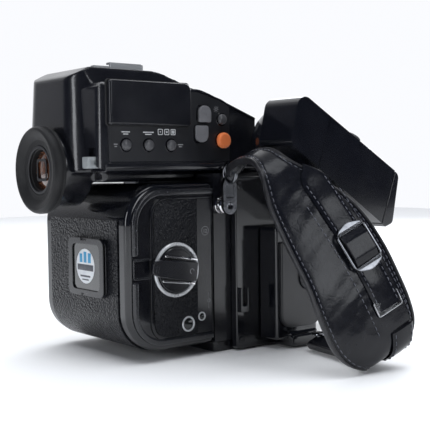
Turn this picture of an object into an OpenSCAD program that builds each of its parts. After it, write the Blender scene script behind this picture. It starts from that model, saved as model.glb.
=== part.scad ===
// Modular medium-format reflex camera: body, roll-film magazine, metering prism
// finder, lens and side motor winder with a leather hand strap.
// Millimetres. +X camera right (winder side), +Y forward along the lens, +Z up.
// The origin is the centre of the tripod socket mouth on the underside.

/* [Body] */
// Half the width of the body and magazine
half_width = 44; // [40:0.5:48]
// Front face of the body box
body_front = 26.5; // [24:0.5:32]
// Seam between body and magazine
seam = -35; // [-38:0.5:-32]
// Top face of the body
body_top = 101; // [96:0.5:106]
// Height of the base plate
base_height = 6; // [4:0.5:8]
// Height of the lens axis over the base
lens_axis = 51; // [48:0.5:54]

/* [Magazine] */
// Rear face of the magazine
magazine_rear = -93; // [-100:0.5:-88]
// Top of the magazine
magazine_top = 96; // [90:0.5:98]
// Radius of the two rear edges
magazine_round = 22; // [16:0.5:24]
// Turn of the folded winding crank in degrees
crank_turn = -8; // [-20:1:20]

/* [Finder] */
// Height of the finder roof
roof = 158.5; // [150:0.5:165]
// Underside of the finder
finder_foot = 102.3; // [101.5:0.1:104]
// Half width of the finder prism hump
finder_half = 31; // [28:0.5:34]

/* [Lens] */
// Outer radius of the focus ring
lens_radius = 37; // [30:0.5:38]
// Front end of the lens
lens_front = 80; // [70:1:85]

/* [Winder] */
// Slope of the grip beam in degrees
grip_slope = 31; // [25:0.5:37]
// Inner face of the grip beam
grip_inner = 79; // [76:0.5:84]
// Outer face of the grip beam
grip_outer = 104; // [98:0.5:108]
// Thickness of the hand strap pad
pad_thickness = 3.2; // [2:0.1:5]

/* [Hidden] */
$fn = 48;
film_plane = seam - 4.5;
crank_y = -61.7;
crank_z = 49.2;
mirror_y = -29.4;
mirror_z = 84.5;

function corner(p, a, b, r, n) =
  let(u = (a - p) / norm(a - p), v = (b - p) / norm(b - p), h = acos(u * v) / 2,
      t = r / tan(h), c = p + (u + v) / norm(u + v) * r / sin(h),
      s = p + u * t - c, e = p + v * t - c, f = 180 - 2 * h)
  r <= 0 ? [p] : [for (i = [0:n]) c + (sin((1 - i / n) * f) * s + sin(i / n * f) * e) / sin(f)];
function rounded(pts, rads, n = 6) =
  [for (i = [0:len(pts) - 1]) each corner(pts[i], pts[(i + len(pts) - 1) % len(pts)],
    pts[(i + 1) % len(pts)], rads[i], n)];
function box4(a, b, c, d) = [[a, b], [c, b], [c, d], [a, d]];

// a side profile drawn in (Y, Z) and extruded from x0 to x1
module side_prism(pts, x0, x1)
  translate([x0, 0, 0]) rotate([90, 0, 90]) linear_extrude(x1 - x0) polygon(pts);
// a front profile drawn in (X, Z) and extruded from y0 to y1
module front_prism(pts, y0, y1)
  translate([0, y1, 0]) rotate([90, 0, 0]) linear_extrude(y1 - y0) polygon(pts);
// a plan profile drawn in (X, Y) and extruded from z0 to z1
module plan_prism(pts, z0, z1)
  translate([0, 0, z0]) linear_extrude(z1 - z0) polygon(pts);
module rod_x(x0, x1, y, z, r) translate([x0, y, z]) rotate([0, 90, 0]) cylinder(r = r, h = x1 - x0);
module rod_y(y0, y1, x, z, r) translate([x, y0, z]) rotate([-90, 0, 0]) cylinder(r = r, h = y1 - y0);
module rod_z(z0, z1, x, y, r) translate([x, y, z0]) cylinder(r = r, h = z1 - z0);
module ring_x(x0, x1, y, z, ro, ri) difference() {
  rod_x(x0, x1, y, z, ro);
  rod_x(x0 - 1, x1 + 1, y, z, ri);
}
module ring_y(y0, y1, x, z, ro, ri) difference() {
  rod_y(y0, y1, x, z, ro);
  rod_y(y0 - 1, y1 + 1, x, z, ri);
}
module block(x0, x1, y0, y1, z0, z1) translate([x0, y0, z0]) cube([x1 - x0, y1 - y0, z1 - z0]);

// ---- body ----
module body_shell() color([0.05, 0.05, 0.06]) difference() {
  plan_prism(rounded(box4(-half_width, seam, half_width, body_front), [0, 0, 5, 5]), base_height, body_top);
  block(-31, 31, seam + 2.6, 24, 12, 97);
  block(-29, 29, seam - 1, seam + 3, 22, 80);
  rod_y(23.5, body_front + 1, 0, lens_axis, 30.5);
  block(-26.5, 26.5, -26, 20, 96, 99);
  block(-28.5, 28.5, -27.5, 21.5, 98.5, 102);
  rod_x(-33.4, 33.4, mirror_y, mirror_z, 1.26);
  rod_x(-33.4, 33.4, -30.8, 78.2, 0.96);
  rod_x(-33.4, 33.4, -30.8, 23.8, 0.96);
  rod_y(23.5, body_front + 1, 37.2, 15, 3.06);
}
module body_leather() color([0.08, 0.08, 0.08]) difference() {
  side_prism(rounded(box4(-33, 10, 20, 97), [4, 4, 4, 4]), -half_width - 0.8, -half_width);
  rod_x(-46, -43, -30, 83, 4.7);
}
module base_plate() color([0.1, 0.1, 0.11]) difference() {
  plan_prism(rounded(box4(-43, seam + 0.5, 43, body_front - 0.5), [3, 3, 5, 5]), 0, base_height);
  rod_z(-1, base_height + 1, 0, 0, 5);
}
module tripod_bush() color([0.7, 0.7, 0.7]) difference() {
  rod_z(0, base_height, 0, 0, 5);
  rod_z(-1, 5.5, 0, 0, 3.2);
}
module front_plate() color([0.1, 0.1, 0.11]) difference() {
  front_prism(rounded(box4(-41, 9, 41, 98), [6, 6, 6, 6]), body_front, 29);
  rod_y(body_front - 1, 30, 0, lens_axis, 31);
  rod_y(body_front - 1, 30, 37.2, 15, 3.06);
  rod_y(body_front - 1, 30, -37.8, lens_axis, 2.06);
}
module lens_mount_ring() color([0.75, 0.75, 0.75])
  ring_y(29, 31, 0, lens_axis, 34, 28);
module focusing_screen() color([0.8, 0.85, 0.85])
  block(-28.4, 28.4, -27.4, 21.4, 98.6, 100.6);
module at_mirror() translate([0, mirror_y, mirror_z]) rotate([-45, 0, 0]) children();
module mirror_frame() color([0.2, 0.2, 0.2]) union() {
  at_mirror() block(-29, 29, 0, 52, -3, 0);
  rod_x(-33, 33, mirror_y, mirror_z, 1.2);
}
module mirror_glass() color([0.8, 0.85, 0.9])
  at_mirror() block(-28, 28, 2, 51.5, 0, 1.5);
module upper_flap() color([0.12, 0.12, 0.12]) union() {
  block(-29, 29, -31.4, -30.2, 52, 78.2);
  rod_x(-33, 33, -30.8, 78.2, 0.9);
}
module lower_flap() color([0.12, 0.12, 0.12]) union() {
  block(-29, 29, -31.4, -30.2, 23.8, 51);
  rod_x(-33, 33, -30.8, 23.8, 0.9);
}
module body_release() color([0.75, 0.75, 0.75]) union() {
  rod_y(25.5, 31.5, 37.2, 15, 3);
  rod_y(31, 34, 37.2, 15, 4.5);
}
module lens_release() color([0.75, 0.75, 0.75]) union() {
  rod_y(27.8, 31.5, -37.8, lens_axis, 2);
  rod_y(30.5, 32.5, -37.8, lens_axis, 2.9);
}
module strap_lugs() color([0.6, 0.6, 0.6]) for (s = [0, 1]) mirror([s, 0, 0]) union() {
  rod_x(44, 48, -30, 83, 2.4);
  rod_x(47.4, 49.2, -30, 83, 4.4);
  ring_x(44, 45.2, -30, 83, 4.6, 2.4);
}

// ---- magazine ----
function mag_profile(d) = rounded(
  box4(magazine_rear + d, base_height + d, seam - (d > 0 ? 0.2 : 0), magazine_top - d),
  [magazine_round - d, 0, 0, magazine_round - d], 10);
module mag_plan(d, z0, z1)
  plan_prism(rounded(box4(-half_width + d, magazine_rear + d, half_width - d, seam), [9 - d, 9 - d, 0, 0]), z0, z1);
module magazine_shell() color([0.06, 0.06, 0.07]) difference() {
  intersection() {
    side_prism(mag_profile(0), -half_width, half_width);
    mag_plan(0, 0, 110);
  }
  side_prism(rounded(box4(-90, 9, -41, 93), [19, 3, 3, 19], 10), -half_width - 1, 36);
  block(-28, 28, -42, seam + 1, 23, 79);
  block(-7, 7, -62, -48.7, 94.6, 98);
  block(-half_width - 1, 32.5, -38.3, -36.9, 20.8, 81.2);
  rod_x(35, 45, crank_y, crank_z, 3.05);
}
module magazine_leather() color([0.09, 0.09, 0.09]) difference() {
  intersection() {
    side_prism(rounded(box4(magazine_rear - 0.8, 5.3, -50, 97),
      [magazine_round + 0.4, 0, 0, magazine_round + 0.8], 10), -36, 36);
    block(-36, 36, -100, -64, 0, 77);
  }
  side_prism(mag_profile(0), -40, 40);
}
module side_trim() color([0.3, 0.3, 0.3]) difference() {
  union() {
    difference() {
      side_prism(mag_profile(3.2), half_width, half_width + 1.6);
      side_prism(rounded(box4(-86.6, 12.4, -20, 89.6), [15.6, 0, 0, 15.6], 10), half_width - 1, half_width + 3);
    }
    difference() {
      side_prism(rounded(box4(-76, 13, -37.2, 87), [8, 1, 1, 8]), half_width, half_width + 0.6);
      rod_x(43, 47, crank_y, crank_z, 14.95);
      rod_x(43, 47, -53.9, 18.7, 4.35);
      rod_x(43, 47, -44.5, 21.9, 2.55);
    }
  }
  block(43, 47, -95, -81, 44.5, 58);
}
module memo_holder() color([0.1, 0.1, 0.1]) difference() {
  front_prism(rounded(box4(-10.7, 34.5, 26.2, 66.5), [4, 4, 4, 4]), -96.6, -93.8);
  block(-11, 27, -95.9, -95, 37, 64);
  front_prism(rounded(box4(-6.5, 38, 22, 63), [3, 3, 3, 3]), -97, -95.5);
}
module memo_card() color([0.85, 0.9, 0.95])
  block(-8.5, 24, -95.7, -95.2, 37.4, 63.6);
module at_crank() translate([0, crank_y, crank_z]) rotate([crank_turn, 0, 0]) children();
module crank_hub() color([0.08, 0.08, 0.08]) at_crank() union() {
  rod_x(44.4, 46.1, 0, 0, 12.4);
  rod_x(37, 44.6, 0, 0, 3);
  for (s = [-1, 1]) block(46, 49.6, -2, 13.4, s * 6.6 - 0.8, s * 6.6 + 0.8);
  rod_z(-7, 7, 48.3, 12, 0.8);
}
module crank_arm() color([0.05, 0.05, 0.06]) at_crank() difference() {
  union() {
    side_prism(rounded([[-20.3, -3.4], [0, -5.3], [13.5, -5.3], [13.5, 5.3], [0, 5.3], [-20.3, 3.4]],
      [2, 4, 1, 1, 4, 2]), 47.1, 49.5);
    rod_z(-5.3, 5.3, 48.3, 12, 1.7);
  }
  rod_z(-8, 8, 48.3, 12, 0.86);
}
module magazine_rings() color([0.8, 0.8, 0.8]) union() {
  ring_x(half_width, 45.8, crank_y, crank_z, 14.9, 12.8);
  ring_x(half_width, 45, -53.9, 18.7, 4.3, 3.3);
  ring_x(half_width, 45, -44.5, 21.9, 2.5, 1.7);
  rod_x(half_width, 44.4, -53.9, 18.7, 3.4);
  rod_x(half_width, 44.4, -44.5, 21.9, 1.8);
}
module magazine_latch() color([0.7, 0.7, 0.7]) union() {
  block(-6.7, 6.7, -61.7, -52, 94.9, magazine_top + 1.6);
  for (i = [0:3]) block(-5, 5, -61 + i * 2.4, -59.8 + i * 2.4, magazine_top + 1.4, magazine_top + 2.4);
}
module dark_slide() color([0.75, 0.75, 0.78]) union() {
  block(-46, 31.5, -38, -37.2, 21.2, 80.8);
  block(-51, -45.4, -39, -36.2, 36, 66);
}
module film_insert() color([0.15, 0.15, 0.15]) difference() {
  union() {
    side_prism(rounded(box4(-89.6, 9.4, -41.4, 92.6), [18.6, 2.6, 2.6, 18.6], 10), -43.9, -41);
    side_prism(rounded(box4(-86, 13, -48, 89), [15, 2, 2, 15]), 31.6, 33.6);
    block(-41.2, 31.8, -64, -50, 46, 56);
    for (z = [27, 75]) rod_x(-41.2, 31.8, -73, z, 2.5);
    block(-30, 30, -43.6, -42.2, 21, 81);
    block(-6, 6, -50.2, -43.4, 47, 55);
  }
  rod_x(-45, -40, -62, 51, 2.05);
}
module spool(z) difference() {
  union() {
    rod_x(-31, 31, -73, z, 5);
    rod_x(-31, -29.6, -73, z, 12.5);
    rod_x(29.6, 31, -73, z, 12.5);
  }
  rod_x(-32, 32, -73, z, 2.56);
}
module supply_spool() color([0.2, 0.2, 0.22]) spool(27);
module takeup_spool() color([0.2, 0.2, 0.22]) spool(75);
module insert_key() color([0.75, 0.75, 0.75]) union() {
  rod_x(-46, -44.3, -62, 51, 9);
  rod_x(-44.6, -41.5, -62, 51, 2);
  block(-49, -45.8, -70, -54, 49.8, 52.2);
}

// ---- finder ----
module finder_housing() color([0.06, 0.06, 0.07]) difference() {
  union() {
    intersection() {
      side_prism(rounded([[-113, finder_foot], [22, finder_foot], [22, 116], [-3.5, 130.7],
        [-29, 147.4], [-57, roof - 0.4], [-101, roof], [-113, 152]],
        [1, 1, 4, 40, 40, 20, 8, 8]), -40, 40);
      front_prism(rounded([[-finder_half, 100], [finder_half, 100], [finder_half, 134],
        [22, 160.5], [-22, 160.5], [-finder_half, 134]], [0, 0, 12, 8, 8, 12]), -120, 30);
      plan_prism(rounded(box4(-finder_half, -113, finder_half, 22), [16, 16, 3, 3]), 100, 162);
    }
    block(-30, 30, -30, 21, body_top, finder_foot + 1);
    block(-29, 29, -97, seam - 0.6, magazine_top + 1, finder_foot + 1);
    rod_y(-115, -97.2, 0, 104, 20);
  }
  block(-9, 9, -65, -46, magazine_top, magazine_top + 4.5);
  side_prism([[-28.2, body_top - 1], [20.2, body_top - 1], [20.2, 110.6], [-5, 127], [-31, 143.9],
    [-45.5, 143.9], [-45.5, 104.6], [-28.2, 104.6]], -25.5, 25.5);
  block(-12, 12, -101, -45, 104.6, 117);
  rod_y(-116, -99.5, 0, 104, 13.98);
}
module prism() color([0.7, 0.85, 0.95])
  side_prism([[-28, body_top + 0.4], [20, body_top + 0.4], [20, 110.3], [-5, 126.6], [-31, 143.5],
    [-45, 143.5], [-45, 105], [-28, 105]], -25, 25);
buttons_y = [-92.4, -78.3, -63.8];
module finder_panel() color([0.07, 0.07, 0.08]) difference() {
  intersection() {
    side_prism(rounded([[-107, 104], [-3, 104], [-3, 132], [-43, 147.3], [-104, 149], [-107, 146]],
      [3, 1, 1, 10, 4, 3]), finder_half, half_width);
    plan_prism(rounded(box4(finder_half - 10, -107, half_width, -3), [0, 5, 1, 0]), 100, 155);
    front_prism(rounded([[finder_half - 5, 100], [half_width, 100], [half_width, 147],
      [finder_half, 155], [finder_half - 5, 155]], [0, 0, 4, 0, 0]), -120, 10);
  }
  for (y = buttons_y) rod_x(41, 45, y, 116.4, 2.06);
  rod_x(41, 45, -28.7, 131.1, 2.06);
  rod_x(40, 45, -28.5, 119.3, 3.06);
  block(40.5, 45, -44.6, -38.6, 130.2, 137.2);
  block(40.5, 45, -46.7, -40.7, 119.2, 126.2);
  block(31.7, 38.3, -108, -104.7, 102, 115);
}
module lcd_cover() color([0.05, 0.05, 0.06])
  side_prism(rounded(box4(-102.5, 127, -52, 149.5), [1, 1, 4, 2]), half_width, half_width + 3.4);
module dome_button(y, z) intersection() {
  union() {
    rod_x(41.6, 44.7, y, z, 2);
    rod_x(44.6, 47, y, z, 3);
  }
  translate([40.9, y, z]) sphere(r = 5.6);
}
module left_button() color([0.25, 0.25, 0.27]) dome_button(buttons_y[0], 116.4);
module middle_button() color([0.25, 0.25, 0.27]) dome_button(buttons_y[1], 116.4);
module right_button() color([0.25, 0.25, 0.27]) dome_button(buttons_y[2], 116.4);
module light_button() color([0.25, 0.25, 0.27]) dome_button(-28.7, 131.1);
module power_button() color([0.95, 0.35, 0.12]) union() {
  rod_x(41, 44.9, -28.5, 119.3, 3);
  rod_x(44.8, 47.6, -28.5, 119.3, 4.4);
}
module rocker(y, z, up) union() {
  block(41.5, 44.7, y - 2.9, y + 2.9, z - 3.4, z + 3.4);
  side_prism(rounded(box4(y - 4.3, z - 4.6, y + 4.3, z + 4.6), up > 0 ? [1, 1, 4, 4] : [4, 4, 1, 1]), 44.6, 46.4);
}
module rocker_up() color([0.35, 0.35, 0.36]) rocker(-41.6, 133.7, 1);
module rocker_down() color([0.35, 0.35, 0.36]) rocker(-43.7, 122.7, -1);
module finder_latch() color([0.6, 0.62, 0.62]) block(32, 38, -111.5, -105, 104.5, 110.5);
module eyecup() color([0.05, 0.05, 0.05]) difference() {
  union() {
    rod_y(-122.5, -115.3, 0, 104, 23.6);
    rod_y(-115.4, -106, 0, 104, 13.9);
  }
  rod_y(-124, -105, 0, 104, 11);
  rod_y(-124, -119.5, 0, 104, 16);
}
module eyepiece_lens() color([0.2, 0.15, 0.1]) rod_y(-116, -112, 0, 104, 10.95);
module accessory_shoe() color([0.6, 0.6, 0.6]) difference() {
  block(-10.5, 10.5, -80, -58, roof - 0.1, roof + 4.6);
  block(-9.2, 9.2, -81, -59.5, roof + 1.2, roof + 3.4);
  block(-6.4, 6.4, -81, -59.5, roof + 1.2, roof + 6);
}
module roof_plate() color([0.08, 0.08, 0.09])
  side_prism([[-46.5, 154.4], [-29, 147.5], [-3.5, 130.9], [12, 121.9], [12, 123.6],
    [-3.1, 132.4], [-28.6, 149], [-46, 155.9]], -15, 15);

// ---- lens ----
module lens_barrel() color([0.08, 0.08, 0.08]) difference() {
  union() {
    rod_y(27, 31.2, 0, lens_axis, 27.9);
    rod_y(31, 36, 0, lens_axis, 33.5);
    rod_y(36, 76, 0, lens_axis, 33);
    rod_y(43.2, 46.8, 0, lens_axis, 36);
    rod_y(54.2, 57.8, 0, lens_axis, 36.4);
    rod_y(73.2, lens_front, 0, lens_axis, 35.5);
  }
  rod_y(26, lens_front + 1, 0, lens_axis, 24);
  rod_y(lens_front - 3, lens_front + 1, 0, lens_axis, 30);
}
module shutter_ring() color([0.12, 0.12, 0.12]) ring_y(36.4, 42.8, 0, lens_axis, 35.6, 33.06);
module aperture_ring() color([0.12, 0.12, 0.12]) ring_y(47.2, 53.8, 0, lens_axis, 35.6, 33.06);
module focus_ring() color([0.1, 0.1, 0.1]) ring_y(58.2, 72.8, 0, lens_axis, lens_radius, 33.06);
module lens_elements() color([0.4, 0.5, 0.6]) union() {
  rod_y(28, 33, 0, lens_axis, 23.9);
  rod_y(50, 54, 0, lens_axis, 23.9);
  rod_y(68, 74, 0, lens_axis, 23.9);
}

// ---- winder ----
module grip_frame() translate([0, -25.9, 127.9]) rotate([-grip_slope, 0, 0]) children();
module winder_plate() color([0.07, 0.07, 0.08])
  side_prism(rounded(box4(-23, 1, 27, 99), [2, 2, 3, 3]), half_width, 49);
module winder_housing() color([0.05, 0.05, 0.06]) difference() {
  union() {
    rod_z(36, 76, 56, -11, 12);
    plan_prism(rounded(box4(49, -18, 70, 20), [2, 9, 9, 2]), 62, 100);
    plan_prism(rounded(box4(49, -6, 64, 27), [1, 1, 3, 1]), 6, 70);
    plan_prism(rounded(box4(56, -14, 78.8, 16), [8, 4, 4, 8]), 90, 120);
    translate([68, 1, 117.5]) sphere(r = 21.5);
    block(49, 66, 4, 27, 1, 8);
    plan_prism(rounded(box4(60, 7, 84, 23), [2, 5, 5, 2]), 1, 3.6);
  }
  block(78.8, 100, -40, 40, 60, 160);
  block(30, 46, -40, 40, 60, 160);
  block(30, 49, -40, 40, 0, 99.3);
}
module side_cover() color([0.2, 0.2, 0.21]) union() {
  difference() {
    side_prism(rounded(box4(-9, 12.5, 26, 61.7), [8, 6, 3, 3]), 64, 66.6);
    rod_z(30, 80, 56, -11, 12.2);
  }
  rod_x(66.4, 68, 17, 41, 8);
}
seam_poly = [[18, 16], [18.5, 16], [25, -16], [24.5, -16]];
grip_poly = rounded([[3.9, -13.3], [82.5, -15.4], [77.3, 15.3], [-3.9, 13.2]], [4, 0, 0, 9]);
module grip_beam() color([0.06, 0.06, 0.07]) grip_frame() difference() {
  intersection() {
    side_prism(grip_poly, grip_inner, grip_outer);
    plan_prism(rounded(box4(grip_inner, -6, grip_outer, 95), [2, 8, 0, 0]), -20, 20);
  }
  block(grip_inner + 1.8, grip_outer - 1.8, 26, 95, -11.2, 11.2);
  side_prism(seam_poly, grip_outer - 0.4, grip_outer + 1);
}
module battery_cassette() color([0.07, 0.07, 0.08]) grip_frame() union() {
  side_prism(rounded([[83, -15.4], [86.9, -15.6], [91, -10.9], [81.7, 15.6], [77.8, 15.3]],
    [0, 1, 2, 3, 0]), grip_inner, grip_outer);
  block(grip_inner + 2.2, grip_outer - 2.2, 28, 80.5, -10.9, -10.1);
  block(grip_inner + 2.2, grip_outer - 2.2, 27.5, 28.9, -10.9, 10.6);
  block(91, 92, 28, 80.5, -10.2, 8);
}
module battery_cells() color([0.5, 0.4, 0.2]) grip_frame()
  for (x = [86.1, 96.9]) for (z = [-4.9, 5.4]) union() {
    rod_y(30, 73, x, z, 4.85);
    rod_y(73, 74.2, x, z, 1.8);
  }
module grip_top() color([0.06, 0.06, 0.07]) grip_frame() difference() {
  side_prism(rounded([[34, 14.2], [74, 15.3], [74, 19.4], [40, 18.6]], [0, 0, 2, 3]), 81, 97);
  translate([89, 64, 10]) cylinder(r = 4.06, h = 12);
  translate([89, 50, 10]) cylinder(r = 1.56, h = 12);
}
module winder_release() color([0.7, 0.7, 0.7]) grip_frame() union() {
  translate([89, 64, 16.6]) cylinder(r = 4, h = 4);
  translate([89, 64, 20.5]) cylinder(r = 4.8, h = 1);
}
module mode_dial() color([0.15, 0.15, 0.15]) grip_frame() union() {
  translate([89, 50, 16.4]) cylinder(r = 1.5, h = 3);
  translate([89, 50, 19.3]) cylinder(r = 6, h = 2.4);
}

// ---- hand strap ----
strap_path = [[-1, 84], [10, 91], [24, 95.5], [38, 96], [50, 90], [60, 76], [70, 58], [79, 39],
  [85, 20], [88, 6], [88.3, -4], [84, -12], [75, -16.4], [58, -19], [40, -20.5], [24, -22]];
function side_of(p, q) = let(d = (q - p) / norm(q - p)) [d[1], -d[0]];
function band(p, t0, t1) = let(n = len(p) - 1,
    m = [for (i = [0:n]) let(v = side_of(p[max(i - 1, 0)], p[min(i + 1, n)])) v])
  concat([for (i = [0:n]) p[i] + m[i] * t0], [for (i = [n:-1:0]) p[i] + m[i] * t1]);
module strap_frame() translate([44, -35, 6]) rotate([25, 0, 0]) rotate([0, 0, -10]) children();
module hand_strap() color([0.06, 0.06, 0.06]) difference() {
  strap_frame() intersection() {
    front_prism(band(strap_path, 0, pad_thickness), 20, 90);
    side_prism([[44, 101], [56, 101], [55, 91], [60, 84], [72, 70], [74, 40], [73, 5], [70, -8],
      [64, -15], [57, -20], [56, -28], [42, -28], [41, -18.5], [33, -13.5], [25, -5], [21.5, 5],
      [24.3, 39], [26.8, 58], [30.5, 76], [38, 88]],
      -10, 100);
  }
  rod_z(0, 30, 77, 15, 2.6);
  rod_z(8.4, 16, 77, 15, 5.2);
  block(59.5, 84.5, 6, 24, -2, 3.8);
  strap_ring(1.1);
}
module strap_ring(r) translate([51, -28.5, 101]) rotate([90, 0, 0])
  rotate_extrude() translate([5.5, 0]) circle(r = r);
function portion(p, a, b) = [for (i = [a:b]) p[i]];
module strap_hardware() color([0.75, 0.75, 0.75]) union() {
  strap_frame() intersection() {
    front_prism(band(portion(strap_path, 4, 9), -2.2, -0.1), 52, 66);
    side_prism([[52, 4], [66, 4], [66, 84], [59, 92], [52, 84]], -10, 100);
  }
  strap_ring(1);
  side_prism(rounded(box4(-33.5, 78, -24, 98), [4.7, 4.7, 2, 2]), 49.4, 51.4);
  rod_z(3.6, 9, 77, 15, 2.4);
  rod_z(8.6, 10, 77, 15, 5);
}

body_shell();
body_leather();
base_plate();
tripod_bush();
front_plate();
lens_mount_ring();
focusing_screen();
mirror_frame();
mirror_glass();
upper_flap();
lower_flap();
body_release();
lens_release();
strap_lugs();
magazine_shell();
magazine_leather();
side_trim();
memo_holder();
memo_card();
magazine_rings();
crank_hub();
crank_arm();
magazine_latch();
dark_slide();
film_insert();
supply_spool();
takeup_spool();
insert_key();
finder_housing();
finder_panel();
lcd_cover();
left_button();
middle_button();
right_button();
rocker_up();
rocker_down();
light_button();
power_button();
finder_latch();
prism();
eyecup();
eyepiece_lens();
accessory_shoe();
roof_plate();
lens_barrel();
focus_ring();
aperture_ring();
shutter_ring();
lens_elements();
winder_plate();
winder_housing();
side_cover();
grip_beam();
grip_top();
battery_cassette();
battery_cells();
winder_release();
mode_dial();
hand_strap();
strap_hardware();
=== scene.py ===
"""Finishes a modular medium-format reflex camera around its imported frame.

Sizes are in millimetres until a point reaches Blender. The frame is the CAD
one: +X is the camera's right, +Y runs forward along the lens, +Z is up.
"""
import sys
import logging
import math
from collections.abc import Callable, Iterator, Sequence
from contextlib import contextmanager
from dataclasses import dataclass, field
from enum import Enum

import bpy
from mathutils import Matrix, Vector


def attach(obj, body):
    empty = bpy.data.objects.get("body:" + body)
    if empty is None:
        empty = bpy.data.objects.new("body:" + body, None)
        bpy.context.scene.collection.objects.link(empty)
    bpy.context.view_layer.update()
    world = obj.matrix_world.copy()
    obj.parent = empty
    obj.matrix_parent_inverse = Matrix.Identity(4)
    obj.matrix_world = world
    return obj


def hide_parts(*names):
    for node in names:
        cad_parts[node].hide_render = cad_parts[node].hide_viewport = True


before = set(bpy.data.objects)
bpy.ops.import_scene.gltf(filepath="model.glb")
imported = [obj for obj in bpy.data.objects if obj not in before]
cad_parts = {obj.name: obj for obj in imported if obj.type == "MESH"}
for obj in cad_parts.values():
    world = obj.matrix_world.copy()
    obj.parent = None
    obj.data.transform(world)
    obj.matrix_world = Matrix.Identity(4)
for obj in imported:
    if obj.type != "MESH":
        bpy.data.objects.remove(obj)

LOG = logging.getLogger("camera")
MM = 0.001
MERGE_REACH = 0.000002
DIGIT_SCALE = 1.35
DIGIT_DEPTH = 0.03
CAMERA = "camera"
Point = tuple[float, float]
Corner = tuple[float, float, float]
Triple = tuple[float, float, float]
Piece = bpy.types.Object
Tree = bpy.types.NodeTree
Socket = bpy.types.NodeSocket


class Plane(Enum):
    """The plane an outline is drawn in; the third axis is the one it grows along."""

    YZ = (1, 2, 0)
    XZ = (0, 2, 1)
    XY = (0, 1, 2)

    def point(self, a: float, b: float, depth: float) -> Vector:
        """Gives the place of outline point (a, b) at a depth, in metres."""
        place = [0.0, 0.0, 0.0]
        for axis, value in zip(self.value, (a, b, depth)):
            place[axis] = value * MM
        return Vector(place)


class Axis(Enum):
    """An axis that a turned piece is spun about, with the axis its radius is drawn on."""

    X = (0, 2, 1)
    Y = (1, 0, 2)
    Z = (2, 0, 1)

    def point(self, radius: float, along: float, centre: Point) -> Vector:
        """Gives the place of a profile point in metres.

        Args:
            radius: Distance from the axis.
            along: Distance along the axis.
            centre: The axis's two other coordinates, in X, Y, Z order.
        """
        run, out, still = self.value
        low, high = sorted((out, still))
        place = [0.0, 0.0, 0.0]
        place[low], place[high] = centre[0] * MM, centre[1] * MM
        place[run] = along * MM
        place[out] += radius * MM
        return Vector(place)


def rounded(corners: Sequence[Corner], steps: int = 6) -> list[Point]:
    """Rounds the corners of an outline.

    Args:
        corners: Corner places, each with its radius.
        steps: Straight pieces in each rounded corner.

    Returns:
        The points of the rounded outline.
    """
    points: list[Point] = []
    count = len(corners)
    for index, (x, y, radius) in enumerate(corners):
        here = Vector((x, y))
        if radius <= 0:
            points.append((x, y))
            continue
        before = (Vector(corners[index - 1][:2]) - here).normalized()
        after = (Vector(corners[(index + 1) % count][:2]) - here).normalized()
        half = before.angle(after) / 2
        centre = here + (before + after).normalized() * radius / math.sin(half)
        start = here + before * radius / math.tan(half) - centre
        end = here + after * radius / math.tan(half) - centre
        sweep = math.pi - 2 * half
        for step in range(steps + 1):
            share = step / steps
            spot = centre + (
                math.sin((1 - share) * sweep) * start + math.sin(share * sweep) * end) / math.sin(sweep)
            points.append((spot.x, spot.y))
    return points


def frame_corners(a0: float, b0: float, a1: float, b1: float, radius: float) -> list[Corner]:
    """Gives the four corners of an upright rectangle, all with one radius."""
    return [(a0, b0, radius), (a1, b0, radius), (a1, b1, radius), (a0, b1, radius)]


# ---------------------------------------------------------------- finishes


class Grain(Enum):
    """Surface relief that a finish can carry."""

    PEBBLE = "pebble"
    PEEL = "peel"
    CREASE = "crease"
    BRUSHED = "brushed"
    FIBRE = "fibre"


@dataclass(frozen=True)
class Relief:
    """One layer of relief: its kind, pattern scale per metre, and depth in metres."""

    grain: Grain
    scale: float
    depth: float
    strength: float = 1.0


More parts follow.
